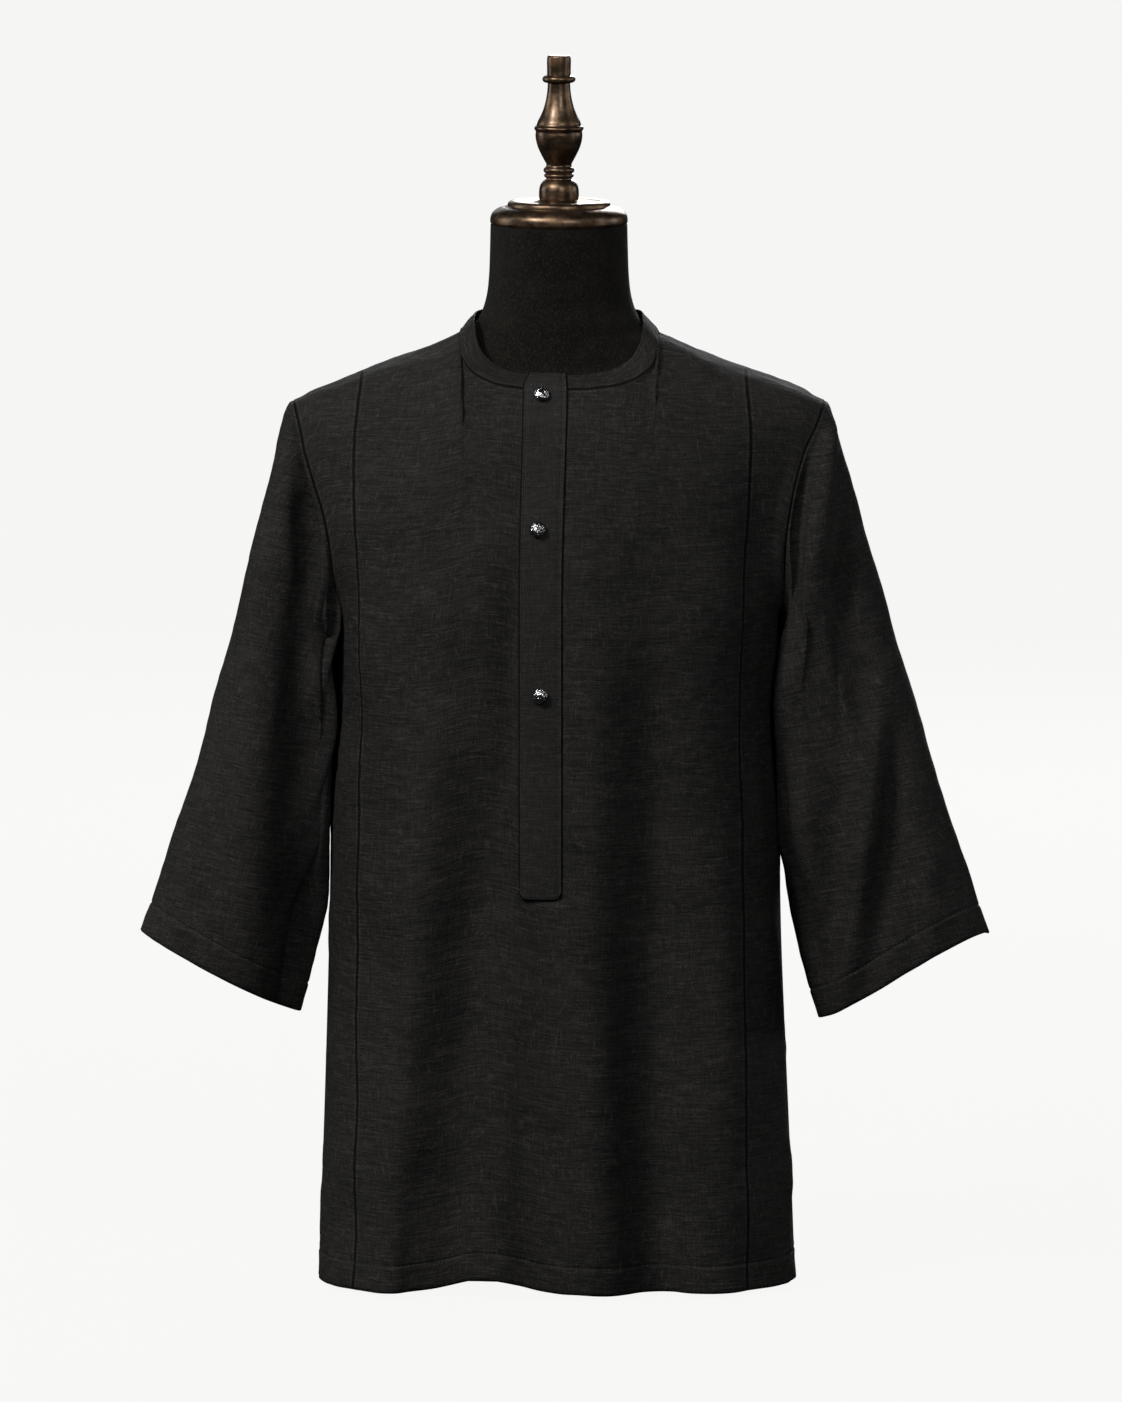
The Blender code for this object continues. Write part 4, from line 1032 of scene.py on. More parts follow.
def eased_chest(grid):
    """The cloth's depth made smooth up and down past the underarm, where the yoke's rows meet the skirt's."""
    near = spread(0.075, grid[..., 2] - UNDERARM) * edge_fade(grid, True, False, 24.0 * MM)
    run = runs(grid, 0)
    out = grid.copy()
    for _ in range(160):
        low, high = run[1:-1] - run[:-2], run[2:] - run[1:-1]
        even = (out[:-2, :, 1] * high + out[2:, :, 1] * low) / (low + high)
        step = np.minimum(1.0, 0.5 * (2 * low * high / (low + high)) ** 2 / (2.2 * MM) ** 2 + 0.35)
        out[1:-1, :, 1] += (even - out[1:-1, :, 1]) * near[1:-1] * step
    return out


def eased_corners(grid, at):
    """The cloth made smooth below the neckline's two side corners, moved only square to itself."""
    from_top = runs(grid, 0, True)
    near = np.zeros(grid.shape[:2])
    for column in (EDGE_COLUMNS, len_columns(at) - EDGE_COLUMNS):
        corner = grid[:, [index_of(at, column)], 0]
        near = np.maximum(near, spread(0.050, grid[..., 0] - corner))
    near *= ease(0.5 * MM, 7.0 * MM, from_top) * ease(UNDERARM, UNDERARM + 0.05, grid[..., 2])
    out = grid.copy()
    steps = [np.linalg.norm(np.diff(grid, axis=axis), axis=-1)[..., None] for axis in (0, 1)]
    for turn in range(120):
        if turn % 20 == 0:
            square = facing(out, out * (0.0, 1.0, 0.0) + (0.0, 0.0, 0.01))
        pull = np.zeros_like(out)
        low, high = steps[0][:-1], steps[0][1:]
        pull[1:-1] += (out[:-2] * high + out[2:] * low) / (low + high) - out[1:-1]
        low, high = steps[1][:, :-1], steps[1][:, 1:]
        pull[:, 1:-1] += (out[:, :-2] * high + out[:, 2:] * low) / (low + high) - out[:, 1:-1]
        out += square * (np.sum(pull * square, axis=-1) * near * 0.4)[..., None]
    return out


def len_columns(at):
    return int(round(at[-1]))


def index_of(at, place):
    return int(np.argmin(abs(np.asarray(at) - place)))


def edge_fade(grid, sides, top, width=14.0 * MM):
    """1 inside the piece and 0 along the edges named."""
    fade = np.ones(grid.shape[:2])
    if sides:
        fade *= ease(0.0, width, runs(grid, 1)) * ease(0.0, width, runs(grid, 1, True))
    if top:
        fade *= ease(0.0, width, runs(grid, 0, True))
    return fade


def creased(grid, at, side, table, seed):
    """The body cloth with its creases, waves, hem and panel seams.

    Also gives its normals and the length from the hem.
    """
    outward = (0.0, -1.0 if side == "front" else 1.0, 0.15)
    normals = facing(grid, outward)
    from_hem, across = runs(grid, 0), runs(grid, 1)
    middle = index_of(at, PLACKET_MIDDLE if side == "front" else (grid_columns(side) - 1) / 2)
    across = across - across[:, middle : middle + 1]
    x, z = grid[..., 0], grid[..., 2]
    fade = edge_fade(grid, True, True)
    push = crease_push(x, z, table) * fade
    push += waves(across, from_hem, 0.085, 0.9 * MM, seed) * fade
    push += waves(across, from_hem, 0.024, 0.22 * MM, seed + 1) * fade
    if side == "front":
        left, right = (index_of(at, c) for c in (SIDE_CELLS, grid_columns(side) - 1 - SIDE_CELLS))
        start, end = (index_of(at, c) for c in (PLACKET_FIRST, PLACKET_LAST))
        run = runs(grid, 1)
        on_placket = ease(-3.0 * MM, 0.0, run - run[:, start : start + 1]) * ease(
            -3.0 * MM, 0.0, run[:, end : end + 1] - run
        )
        on_placket *= z > PLACKET_FOOT - 3.0 * MM
        push *= 1.0 - 0.8 * on_placket
        push += seam_relief(run - run[:, left : left + 1]) + seam_relief(run[:, right : right + 1] - run)
        beside = np.minimum(abs(run - run[:, left : left + 1]), abs(run - run[:, right : right + 1]))
        pucker = np.sin(2 * math.pi * from_hem / 0.017) + np.sin(2 * math.pi * from_hem / 0.029 + 1.0)
        push += 0.16 * MM * pucker * spread(7.0 * MM, beside) * ease(0.0, 2.0 * MM, beside)
    else:
        end_fade = edge_fade(grid, False, True, 6.0 * MM)
        push *= end_fade
    push += hem_relief(from_hem, HEM_DEPTH, across, seed + 2) * ease(0.0, 3.0 * MM, runs(grid, 1)) * ease(
        0.0, 3.0 * MM, runs(grid, 1, True)
    )
    return grid + normals * push[..., None], normals, np.stack([across, from_hem], axis=-1)


def grid_columns(side):
    return 2 * EDGE_COLUMNS + (len(FRONT_NECK) if side == "front" else len(BACK_NECK))


def share_seams(shape, normals):
    """Both walls at the shoulder and side seams get one direction."""
    front, back = normals["front"], normals["back"]
    for side_end in (0, -1):
        low = index_of(shape["rows_at"], UNDERARM_ROW) + 1
        both = unit(front[:low, side_end] + back[:low, side_end])
        front[:low, side_end] = back[:low, side_end] = both
    count = index_of(shape["front_at"], EDGE_COLUMNS) + 1
    for part in (slice(0, count), slice(-count, None)):
        both = unit(front[-1, part] + back[-1, part])
        front[-1, part] = back[-1, part] = both


def hem_thickness(from_hem, depth=HEM_DEPTH):
    return SHOWN_CLOTH + 0.8 * MM * (1.0 - ease(depth - 1.0 * MM, depth + 1.0 * MM, from_hem))


def collar_shape(shape):
    """The band's fine grid, with the same stations along the neckline as the front and the back."""
    coarse = collar_grid(neck_ring(shape["coarse"]["front"], shape["coarse"]["back"]))
    front_at = shape["front_at"] - EDGE_COLUMNS
    back_at = shape["back_at"] - EDGE_COLUMNS
    start, end, back_end = PLACKET_COLUMNS[1], len(FRONT_NECK) - 1, len(BACK_NECK) - 1
    right = front_at[(front_at >= start) & (front_at < end - 1e-6)] - start
    behind = (end - start) + (back_end - back_at[(back_at > 1e-6) & (back_at <= back_end + 1e-6)])[::-1]
    left = front_at[(front_at >= -1e-6) & (front_at <= start + 1e-6)] + (end - start) + back_end
    at = np.concatenate([right, behind, left])
    rows_at = np.linspace(0, 2, 17)
    weights = np.zeros((coarse.shape[1], len(rows_at)))
    for corner in (end - start, end - start + back_end):
        weights[corner] = 1.0 - ease(0.0, 1.0, rows_at)
    grid = fine_grid(coarse, rows_at, at, column_corner=weights)
    normals = facing(grid, unit(grid * (1.0, 1.0, 0.0) + (0.0, 0.0, 0.02)))
    return grid, normals, at


def make_body(shape, linen):
    made, grids, normals, cuts = {}, {}, {}, {}
    for side, table, seed in (("front", FRONT_CREASES, 11), ("back", BACK_CREASES, 23)):
        grids[side], normals[side], cuts[side] = creased(shape[side], shape[side + "_at"], side, table, seed)
        normals[side] = facing(grids[side], (0.0, -1.0 if side == "front" else 1.0, 0.15))
    share_seams(shape, normals)
    at = shape["front_at"]
    left, right = index_of(at, SIDE_CELLS), index_of(at, grid_columns("front") - 1 - SIDE_CELLS)
    parts = (
        ("front_side_left", "front", slice(0, left + 1)),
        ("front_centre", "front", slice(left, right + 1)),
        ("front_side_right", "front", slice(right, None)),
        ("back", "back", slice(0, None)),
    )
    for name, side, columns in parts:
        grid = pulled(grids[side][:, columns], ("top", "left", "right"), HALF_GAP)
        cut = cuts[side][:, columns]
        thick = hem_thickness(cut[..., 1])
        made[name] = shell(f"shown_{name}", grid, normals[side][:, columns], thick, cut, linen)
        dressed(made[name], "linen", name)
    return made, grids, normals


def make_collar(collar, linen):
    grid, normals, _ = collar
    height, around = runs(grid, 0), runs(grid, 1)
    top = runs(grid, 0, True)
    push = waves(around, height, 0.05, 0.35 * MM, 31) * ease(0.0, 5 * MM, height)
    push -= 0.45 * MM * spread(1.0 * MM, top - 3.2 * MM)
    push += 0.30 * MM * np.sin(2 * math.pi * around / 0.0215 + 0.6) * spread(4.0 * MM, height - 3.0 * MM)
    push += 0.9 * MM * ease(0.0, 2.6 * MM, height) - 0.25 * MM * spread(0.9 * MM, height)
    grid = grid + normals * push[..., None]
    band = pulled(grid, ("bottom", "left", "right"), SEAM_GAP)
    cut = np.stack([around, height], axis=-1)
    # the seam distance is stretched so that the painted seam shade stays narrow; the top edge gets no painted
    # hem shade
    to_seams = np.stack([1.9 * height, top + 0.05], axis=-1)
    piece = shell("shown_collar_band", band, facing(grid, normals), 1.5 * MM, cut, linen, False, to_seams)
    return dressed(piece, "linen", "collar_band"), grid


LEFT_FRONT_CREASES = (
    # the valley from the shoulder, the fold between it and the armhole, the hollow next to the body
    Crease(-0.2350, 0.830, -0.2020, 0.520, 0.001, 0.0105, -0.0210),
    Crease(-0.2235, 0.785, -0.1950, 0.570, 0.000, 0.0065, 0.0040),
    Crease(-0.1960, 0.640, -0.2120, 0.060, -0.004, 0.0380, -0.0320),
    Crease(-0.2500, 0.830, -0.2780, 0.250, 0.000, 0.0200, 0.0100),
    Crease(-0.3060, 0.400, -0.3300, 0.260, 0.000, 0.0180, -0.0016),
    Crease(-0.2750, 0.560, -0.2330, 0.530, 0.001, 0.0040, 0.0007),
    Crease(-0.3050, 0.470, -0.2500, 0.440, 0.003, 0.0050, -0.0007),
)
RIGHT_FRONT_CREASES = (
    # the fold that hangs from the shoulder with a valley at each side, then the lower folds
    Crease(0.2420, 0.820, 0.2060, 0.490, 0.000, 0.0105, 0.0120),
    Crease(0.2240, 0.790, 0.1900, 0.520, 0.000, 0.0085, -0.0070),
    Crease(0.2570, 0.800, 0.2400, 0.480, 0.000, 0.0110, -0.0070),
    Crease(0.1930, 0.580, 0.2240, 0.120, -0.002, 0.0160, -0.0140),
    Crease(0.2190, 0.580, 0.2310, 0.300, 0.002, 0.0110, 0.0080),
    Crease(0.2500, 0.600, 0.2380, 0.270, -0.004, 0.0150, -0.0070),
    Crease(0.2860, 0.560, 0.2440, 0.190, 0.000, 0.0120, 0.0100),
    Crease(0.3000, 0.530, 0.2740, 0.260, 0.000, 0.0130, -0.0060),
    Crease(0.3280, 0.420, 0.3200, 0.240, 0.000, 0.0120, 0.0040),
)
LEFT_BACK_CREASES = (
    # place round in degrees from the underarm, front first, and share of the way down,
    # at both ends; width; rise
    (200, 0.10, 215, 0.70, 0.0100, -0.0020),
    (240, 0.05, 260, 0.60, 0.0090, 0.0030),
    (285, 0.02, 300, 0.50, 0.0070, -0.0028),
    (255, 0.45, 250, 1.00, 0.0120, -0.0026),
)
RIGHT_BACK_CREASES = (
    (205, 0.10, 220, 0.70, 0.0100, 0.0024),
    (245, 0.05, 262, 0.60, 0.0090, -0.0028),
    (285, 0.02, 300, 0.55, 0.0070, 0.0026),
    (250, 0.45, 245, 1.00, 0.0120, 0.0026),
)


def round_creases(angle, down, around, table):
    total = np.zeros_like(angle)
    size = around[:, -1:] / 360.0
    for first, start, last, end, width, rise in table:
        along = (down - start) / (end - start)
        place = first + (last - first) * np.clip(along, 0.0, 1.0)
        ends = ease(-0.06, 0.28, along) * (1.0 - ease(0.72, 1.06, along) * (end < 1.0))
        total += rise * spread(width, (angle - place) * size) * ends
    return total


def make_shown_sleeve(name, sleeve, folds, front_table, back_table, shape, linen, seed):
    loop = sleeve_loop(shape["coarse"]["front"], shape["coarse"]["back"], sleeve.side)
    coarse = keep_off_body(sleeve_grid(sleeve, loop, folds), sleeve.side, SLEEVE_ROOM)
    up = shape["rows_at"][shape["rows_at"] >= UNDERARM_ROW - 1e-6] - UNDERARM_ROW
    at = np.concatenate([up, 2 * HIGH_ROWS - up[-2:0:-1]])
    lengths = interval_lengths(coarse, 0)
    whole = lengths.sum()
    rows_at = stations(lengths, (whole - CUFF_HEM_DEPTH, 4.0 * MM))
    weights = np.zeros((coarse.shape[1], len(rows_at)))
    weights[0] = weights[HIGH_ROWS] = 1.0 - ease(0.0, 2.0, rows_at)
    grid = fine_grid(coarse, rows_at, at, [(SLEEVE_ROWS, 3, 40.0 * MM)], (), None, weights, ring=True)
    centre = grid.mean(axis=1, keepdims=True)
    outward = unit(grid - centre)
    down, to_cuff = runs(grid, 0), runs(grid, 0, True)
    closed = np.concatenate([grid, grid[:, :1]], axis=1)
    around = runs(closed, 1)
    angle = np.interp(at, np.arange(2 * HIGH_ROWS + 1), np.append(loop_angles(loop), 360.0))
    angle = np.broadcast_to(angle, grid.shape[:2])
    share = down / down[-1:]
    fade = ease(0.0, 16.0 * MM, down)
    turn = np.radians(angle)
    swing = around[:, -1:] / (2 * math.pi)
    push = round_creases(angle, share, around, back_table) * fade
    on_front = ease(3.0, 34.0, angle) * (1.0 - ease(150.0, 178.0, angle))
    push += crease_push(grid[..., 0], grid[..., 2], front_table) * on_front * ease(2.0 * MM, 22.0 * MM, down)
    push += waves(np.sin(turn) * swing, down + 0.3 * np.cos(turn) * swing, 0.080, 0.8 * MM, seed) * fade
    push += waves(np.sin(turn) * swing, down + 0.3 * np.cos(turn) * swing, 0.022, 0.18 * MM, seed + 1) * fade
    push += hem_relief(to_cuff, CUFF_HEM_DEPTH, 0.4 * (1 - np.cos(turn)) * swing * 2, seed + 2)
    push -= 0.45 * MM * spread(2.2 * MM, down) * ease(0.0, 0.3 * MM, down)
    push += 0.30 * MM * spread(2.5 * MM, down - 3.5 * MM)
    normals = facing(grid, outward, True)
    grid = grid + normals * push[..., None]
    over_gap = ease(2.0, 25.0, angle) * (1.0 - ease(45.0, 100.0, angle))
    over_gap = over_gap * ease(0.318, 0.420, grid[..., 2]) * (1.0 - ease(0.47, 0.66, grid[..., 2]))
    grid[..., 0] -= sleeve.side * 16.0 * MM * over_gap
    grid = keep_off_front(grid, sleeve.side)
    normals = facing(grid, outward, True)
    radial = (grid - centre[:1]) * (0.0, 1.0, 1.0)
    normals = unit(mix(unit(radial), normals, ease(0.0, 8.0 * MM, down)[..., None]))
    way = unit(centre[-1, 0] - centre[0, 0])
    along_way = grid @ way
    steps = np.diff(np.concatenate([grid, grid[:, :1]], axis=1), axis=1)
    flat = np.linalg.norm(steps - (steps @ way)[..., None] * way, axis=-1)
    wide = np.concatenate([np.zeros_like(flat[:, :1]), np.cumsum(flat, axis=1)], axis=1)
    top = wide[:, index_of(at, HIGH_ROWS)][:, None]
    cut = np.stack([wide[:, :-1] - top, along_way], axis=-1)
    # the distance from the armhole is stretched so that the painted seam shade stays narrow
    to_seams = np.stack([1.8 * down, to_cuff], axis=-1)
    thick = hem_thickness(to_cuff, CUFF_HEM_DEPTH)
    piece = shell(f"shown_{name}", grid, normals, thick, cut, linen, True, to_seams)
    wrap_cut(piece, wide[:, -1])
    dressed(piece, "linen", name)
    return piece, grid, normals, to_cuff


def keep_off_front(grid, side):
    """The creased sleeve stays clear of the body's side."""
    out = grid.copy()
    for k in range(2, grid.shape[0]):
        low = grid[k, :, 2] < UNDERARM
        for j in np.nonzero(low)[0]:
            x, y, z = grid[k, j]
            height = max(z, 0.0)
            depth = read(SECTIONS, "front" if y < 0 else "back", height)
            across = min(1.0, abs(y) / depth)
            limit = read(SECTIONS, "half_width", height) * side_curve(across, section_squareness(height))
            limit += side * read(SECTIONS, "shift", height)
            out[k, j, 0] = side * max(side * x, limit + 0.8 * MM)
    return out


def wrap_cut(piece, rounds):
    """The last column's faces run on past the first column instead of back across the whole cut."""
    layer = piece.data.uv_layers["cut"].data
    values = np.zeros(len(layer) * 2, np.float32)
    layer.foreach_get("uv", values)
    values = values.reshape(-1, 4, 2)
    wide = values[..., 0].max(axis=1) - values[..., 0].min(axis=1) > 0.1
    low = values[..., 0] < values[..., 0].mean(axis=1, keepdims=True)
    values[..., 0] += np.where(wide[:, None] & low, float(np.mean(rounds)), 0.0)
    layer.foreach_set("uv", values.ravel())


def make_shown_placket(shape, grids, collar_grid_fine, collar_at, linen):
    front, at = grids["front"], shape["front_at"]
    start, end = index_of(at, PLACKET_FIRST), index_of(at, PLACKET_LAST)
    foot = index_of(shape["rows_at"], LOW_ROWS.index(PLACKET_FOOT))
    body = front[foot:, start : end + 1]
    ring_last = collar_at[-1]
    left_band = collar_grid_fine[1:, collar_at >= ring_last - 1 - 1e-6]
    right_band = collar_grid_fine[1:, collar_at <= 1 + 1e-6]
    band = np.concatenate([left_band[:, :-1], right_band], axis=1)
    base = np.concatenate([body, band])
    cap = base[-1] + unit(base[-1] - base[-2]) * 1.2 * MM
    base = np.concatenate([base, cap[None]])
    left, right = runs(base, 1), runs(base, 1, True)
    from_foot = runs(base, 0)
    near = np.minimum(left, right)
    corner = 7.0 * MM
    inset = np.clip(corner - near[0], 0.0, corner)
    rise = corner - np.sqrt(corner**2 - inset**2)
    shaped = base.copy()
    for j in range(base.shape[1]):
        run = from_foot[:, j]
        wanted = run + rise[j] * (1.0 - ease(0.0, 3 * corner, run))
        for axis in range(3):
            shaped[:, j, axis] = np.interp(wanted, run, base[:, j, axis])
    square = facing(shaped, (0.0, -1.0, 0.1))
    square = smoothed(square, 3)
    from_edge = np.minimum(near, from_foot + 0 * near)
    lift = SEAM_GAP + 1.65 * MM - 0.55 * MM * spread(0.9 * MM, from_edge - 3.2 * MM)
    lift = lift + 0.10 * MM * np.sin(2 * math.pi * from_foot / 0.015) * spread(4 * MM, from_edge - 3.2 * MM)
    lift = lift + waves(left, from_foot, 0.06, 0.22 * MM, 41)
    outer = shaped + square * lift[..., None]
    cut = np.stack([left, from_foot], axis=-1)
    # the edge distance is stretched so that the painted shade along the placket's edges stays narrow; the
    # foot gets no painted hem shade
    to_seams = np.stack([2.4 * from_edge, 0.05 + from_foot], axis=-1)
    piece = shell("shown_placket", outer, square, 1.5 * MM, cut, linen, False, to_seams)
    dressed(piece, "placket_linen", "placket")
    return piece, outer, square, from_foot


def smoothed(field, times):
    for _ in range(times):
        inner = (field[:-2] + field[2:] + field[1:-1] * 2) / 4
        field = unit(np.concatenate([field[:1], inner, field[-1:]]))
    return field


# Buttons, dress form and turned pieces

BUTTON_PROFILE = (
    (0.30, 0.00), (0.30, 0.16), (0.52, 0.20), (0.84, 0.22), (0.97, 0.27), (1.00, 0.36), (0.985, 0.46),
    (0.93, 0.60), (0.83, 0.73), (0.70, 0.83), (0.54, 0.91), (0.36, 0.965), (0.18, 0.992), (0.0, 1.0),
)


# (radius, height above the piece's foot)
CAP_SHOWN = (
    (0.0592, 0.0), (0.0601, 0.0015), (0.0603, 0.0040), (0.0599, 0.0068), (0.0587, 0.0095),
    (0.0565, 0.0119), (0.0536, 0.0138), (0.0500, 0.0150), (0.0465, 0.0154), (0.0452, 0.0160),
    (0.0450, 0.0174), (0.0446, 0.0186), (0.0432, 0.0200), (0.0408, 0.0206), (0.0300, 0.0196),
    (0.0200, 0.0200), (0.0180, 0.0212),
)
FINIAL_SHOWN = (
    (0.0173, 0.0), (0.0175, 0.0030), (0.0175, 0.0060), (0.0172, 0.0096), (0.0163, 0.0128),
    (0.0147, 0.0153), (0.0126, 0.0172), (0.0112, 0.0180), (0.0110, 0.0188), (0.0118, 0.0194),
    (0.0127, 0.0202), (0.0130, 0.0212), (0.0127, 0.0222), (0.0118, 0.0229), (0.0118, 0.0234),
    (0.0129, 0.0240), (0.0135, 0.0252), (0.0135, 0.0264), (0.0128, 0.0278), (0.0114, 0.0290),
    (0.0111, 0.0300), (0.0112, 0.0313), (0.0125, 0.0338), (0.0140, 0.0366), (0.0167, 0.0419),
    (0.0189, 0.0472), (0.0202, 0.0525), (0.0206, 0.0570), (0.0204, 0.0602), (0.0208, 0.0608),
    (0.0214, 0.0616), (0.0216, 0.0626), (0.0213, 0.0637), (0.0206, 0.0645), (0.0200, 0.0650),
    (0.0187, 0.0684), (0.0160, 0.0737), (0.0138, 0.0789), (0.0122, 0.0842), (0.0108, 0.0910),
    (0.0101, 0.0970), (0.0098, 0.1020), (0.0106, 0.1024), (0.0124, 0.1028), (0.0137, 0.1036),
    (0.0144, 0.1048), (0.0145, 0.1058), (0.0142, 0.1070), (0.0133, 0.1081), (0.0118, 0.1088),
    (0.0104, 0.1092), (0.0104, 0.1150), (0.0104, 0.1238), (0.0102, 0.1252), (0.0096, 0.1261),
    (0.0086, 0.1264), (0.0060, 0.1262), (0.0030, 0.1264),
)


def lathe(name, profile, place, material, sides=64, sharp=32.0):
    """A closed turned solid. profile is (radius, height), place(radius, turn, height) gives the point."""
    profile = [p for p in profile if p[0] > 1e-9]
    turns = np.arange(sides) * 2 * math.pi / sides
    points = [place(r, t, h) for r, h in profile for t in turns]
    first_end, last_end = place(0.0, 0.0, profile[0][1]), place(0.0, 0.0, profile[-1][1])
    points += [first_end, last_end]
    count = len(profile) * sides
    faces = []
    for r in range(len(profile) - 1):
        for k in range(sides):
            n = (k + 1) % sides
            faces.append((r * sides + k, r * sides + n, (r + 1) * sides + n, (r + 1) * sides + k))
    for k in range(sides):
        n = (k + 1) % sides
        faces.append((n, k, count))
        faces.append((count - sides + k, count - sides + n, count + 1))
    mesh = bpy.data.meshes.new(name)
    mesh.from_pydata([tuple(p) for p in points], [], faces)
    mesh.shade_smooth()
    mesh.set_sharp_from_angle(angle=math.radians(sharp))
    mesh.materials.append(material)
    made = bpy.data.objects.new(name, mesh)
    bpy.context.scene.collection.objects.link(made)
    return made


def finer_profile(profile, steps=4):
    points = np.array(profile)[:, None, :]
    points = np.concatenate([points, np.zeros_like(points[..., :1])], axis=-1)
    ways = unit(np.diff(points[:, 0], axis=0))
    turns = np.degrees(np.arccos(np.clip(np.sum(ways[1:] * ways[:-1], axis=-1), -1.0, 1.0)))
    corner = np.concatenate([[0.0], ease(28.0, 52.0, turns), [0.0]])[:, None]
    fine = through(points, np.linspace(0, len(profile) - 1, (len(profile) - 1) * steps + 1), corner)
    return [(max(1e-6, p[0]), p[1]) for p in fine[:, 0]]


def make_turned(cover, wood):
    def at_foot(foot):
        return lambda r, t, h: (r * math.sin(t), NECK_MIDDLE - r * math.cos(t), foot + h)

    cap = lathe("shown_neck_cap", finer_profile(CAP_SHOWN), at_foot(CAP_FOOT), wood, 128)
    finial = lathe("shown_finial", finer_profile(FINIAL_SHOWN), at_foot(FINIAL_FOOT), wood, 96)
    dressed(cap, "bronzed_wood", "neck_cap")
    dressed(finial, "bronzed_wood", "finial")

    rings = np.array([form_ring_points(ring) for ring in form_rings()])
    rows_at = stations(interval_lengths(rings, 0))[:: 1]
    rows_at = np.unique(np.append(rows_at, [0, len(rings) - 1]))
    around = np.arange(FORM_SIDES * 4) / 4.0
    fine = fine_grid(rings, rows_at, around, ring=True)
    sides = len(around)
    base = [tuple(p) for p in fine.reshape(-1, 3)]
    faces = [tuple(reversed(range(sides))), tuple((len(fine) - 1) * sides + k for k in range(sides))]
    for r in range(len(fine) - 1):
        for k in range(sides):
            n = (k + 1) % sides
            faces.append((r * sides + k, r * sides + n, (r + 1) * sides + n, (r + 1) * sides + k))
    mesh = bpy.data.meshes.new("shown_form_torso")
    mesh.from_pydata(base, [], faces)
    mesh.shade_smooth()
    mesh.set_sharp_from_angle(angle=math.radians(40))
    mesh.materials.append(cover)
    torso = bpy.data.objects.new("shown_form_torso", mesh)
    bpy.context.scene.collection.objects.link(torso)
    dressed(torso, "form_cover", "form_torso")
    return cap, finial, torso


def placket_spot(outer, square, x, height):
    """The placket's point nearest to a place, the way it faces and its up direction."""
    gap = abs(outer[..., 0] - x) * 1.5 + abs(outer[..., 2] - height)
    r, k = np.unravel_index(np.argmin(gap), gap.shape)
    up = unit(outer[min(r + 2, len(outer) - 1), k] - outer[max(r - 2, 0), k])
    out = unit(square[r, k])
    y = outer[r, k, 1] + (height - outer[r, k, 2]) * up[1] / up[2]
    return np.array((x, y, height)), out, up


def make_buttons(placket, material):
    outer, square = placket
    made = []
    for index, (x, height) in enumerate(BUTTONS):
        spot, out, up = placket_spot(outer, square, x, height)
        right = unit(np.cross(up, out))

        def place(r, t, h, spot=spot, out=out, up=up, right=right):
            flat = right * math.sin(t) + up * math.cos(t)
            return tuple(spot + flat * r * BUTTON_RADIUS + out * (h * BUTTON_HEIGHT - 0.1 * MM))

        piece = lathe(f"shown_button_{index + 1}", BUTTON_PROFILE, place, material, 64, 60.0)
        made.append(dressed(piece, "button_metal", f"button_{index + 1}"))
    return made


# Stitches


def stitch_nodes(material):
    """Instances of one stitch on points that carry their direction, made real, with their thread."""
    tree = bpy.data.node_groups.new("stitches", "GeometryNodeTree")
    tree.interface.new_socket("Points", in_out="INPUT", socket_type="NodeSocketGeometry")
    for name in ("Length", "Thickness"):
        tree.interface.new_socket(name, in_out="INPUT", socket_type="NodeSocketFloat")
    tree.interface.new_socket("Stitches", in_out="OUTPUT", socket_type="NodeSocketGeometry")
    nodes, links = tree.nodes, tree.links
    start, end = nodes.new("NodeGroupInput"), nodes.new("NodeGroupOutput")
    bead = nodes.new("GeometryNodeMeshUVSphere")
    bead.inputs["Segments"].default_value = 7
    bead.inputs["Rings"].default_value = 5
    bead.inputs["Radius"].default_value = 0.5
    size = nodes.new("ShaderNodeCombineXYZ")
    links.new(start.outputs["Length"], size.inputs["X"])
    links.new(start.outputs["Thickness"], size.inputs["Y"])
    links.new(start.outputs["Thickness"], size.inputs["Z"])
    shape = nodes.new("GeometryNodeTransform")
    links.new(bead.outputs["Mesh"], shape.inputs["Geometry"])
    links.new(size.outputs["Vector"], shape.inputs["Scale"])
    along = nodes.new("GeometryNodeInputNamedAttribute")
    along.data_type = "FLOAT_VECTOR"
    along.inputs["Name"].default_value = "along"
    turn = nodes.new("FunctionNodeAlignRotationToVector")
    turn.axis = "X"
    links.new(along.outputs["Attribute"], turn.inputs["Vector"])
    on = nodes.new("GeometryNodeInstanceOnPoints")
    links.new(start.outputs["Points"], on.inputs["Points"])
    links.new(shape.outputs["Geometry"], on.inputs["Instance"])
    links.new(turn.outputs["Rotation"], on.inputs["Rotation"])
    real = nodes.new("GeometryNodeRealizeInstances")
    links.new(on.outputs["Instances"], real.inputs["Geometry"])
    thread = nodes.new("GeometryNodeSetMaterial")
    thread.inputs["Material"].default_value = material
    links.new(real.outputs["Geometry"], thread.inputs["Geometry"])
    links.new(thread.outputs["Geometry"], end.inputs["Stitches"])
    return tree


def stitch_points(path, square, pitch, rise):
    """Places at an even pitch along a path on the cloth, lifted, and the direction of each stitch."""
    run = run_of(path)
    count = max(2, int(run[-1] / pitch))
    at = (np.arange(count) + 0.5) * run[-1] / count
    spots = np.stack([np.interp(at, run, path[:, k]) for k in range(3)], axis=1)
    out = unit(np.stack([np.interp(at, run, square[:, k]) for k in range(3)], axis=1))
    ahead = np.stack([np.interp(at + 0.4 * pitch, run, path[:, k]) for k in range(3)], axis=1)
    behind = np.stack([np.interp(at - 0.4 * pitch, run, path[:, k]) for k in range(3)], axis=1)
    return spots + out * rise, unit(ahead - behind)


def make_stitches(name, paths, tree, length, thickness, pitch, rise, material):
    spots, ways = zip(*(stitch_points(path, square, pitch, rise) for path, square in paths))
    return stitches_at(name, np.concatenate(spots), np.concatenate(ways), tree, length, thickness, material)


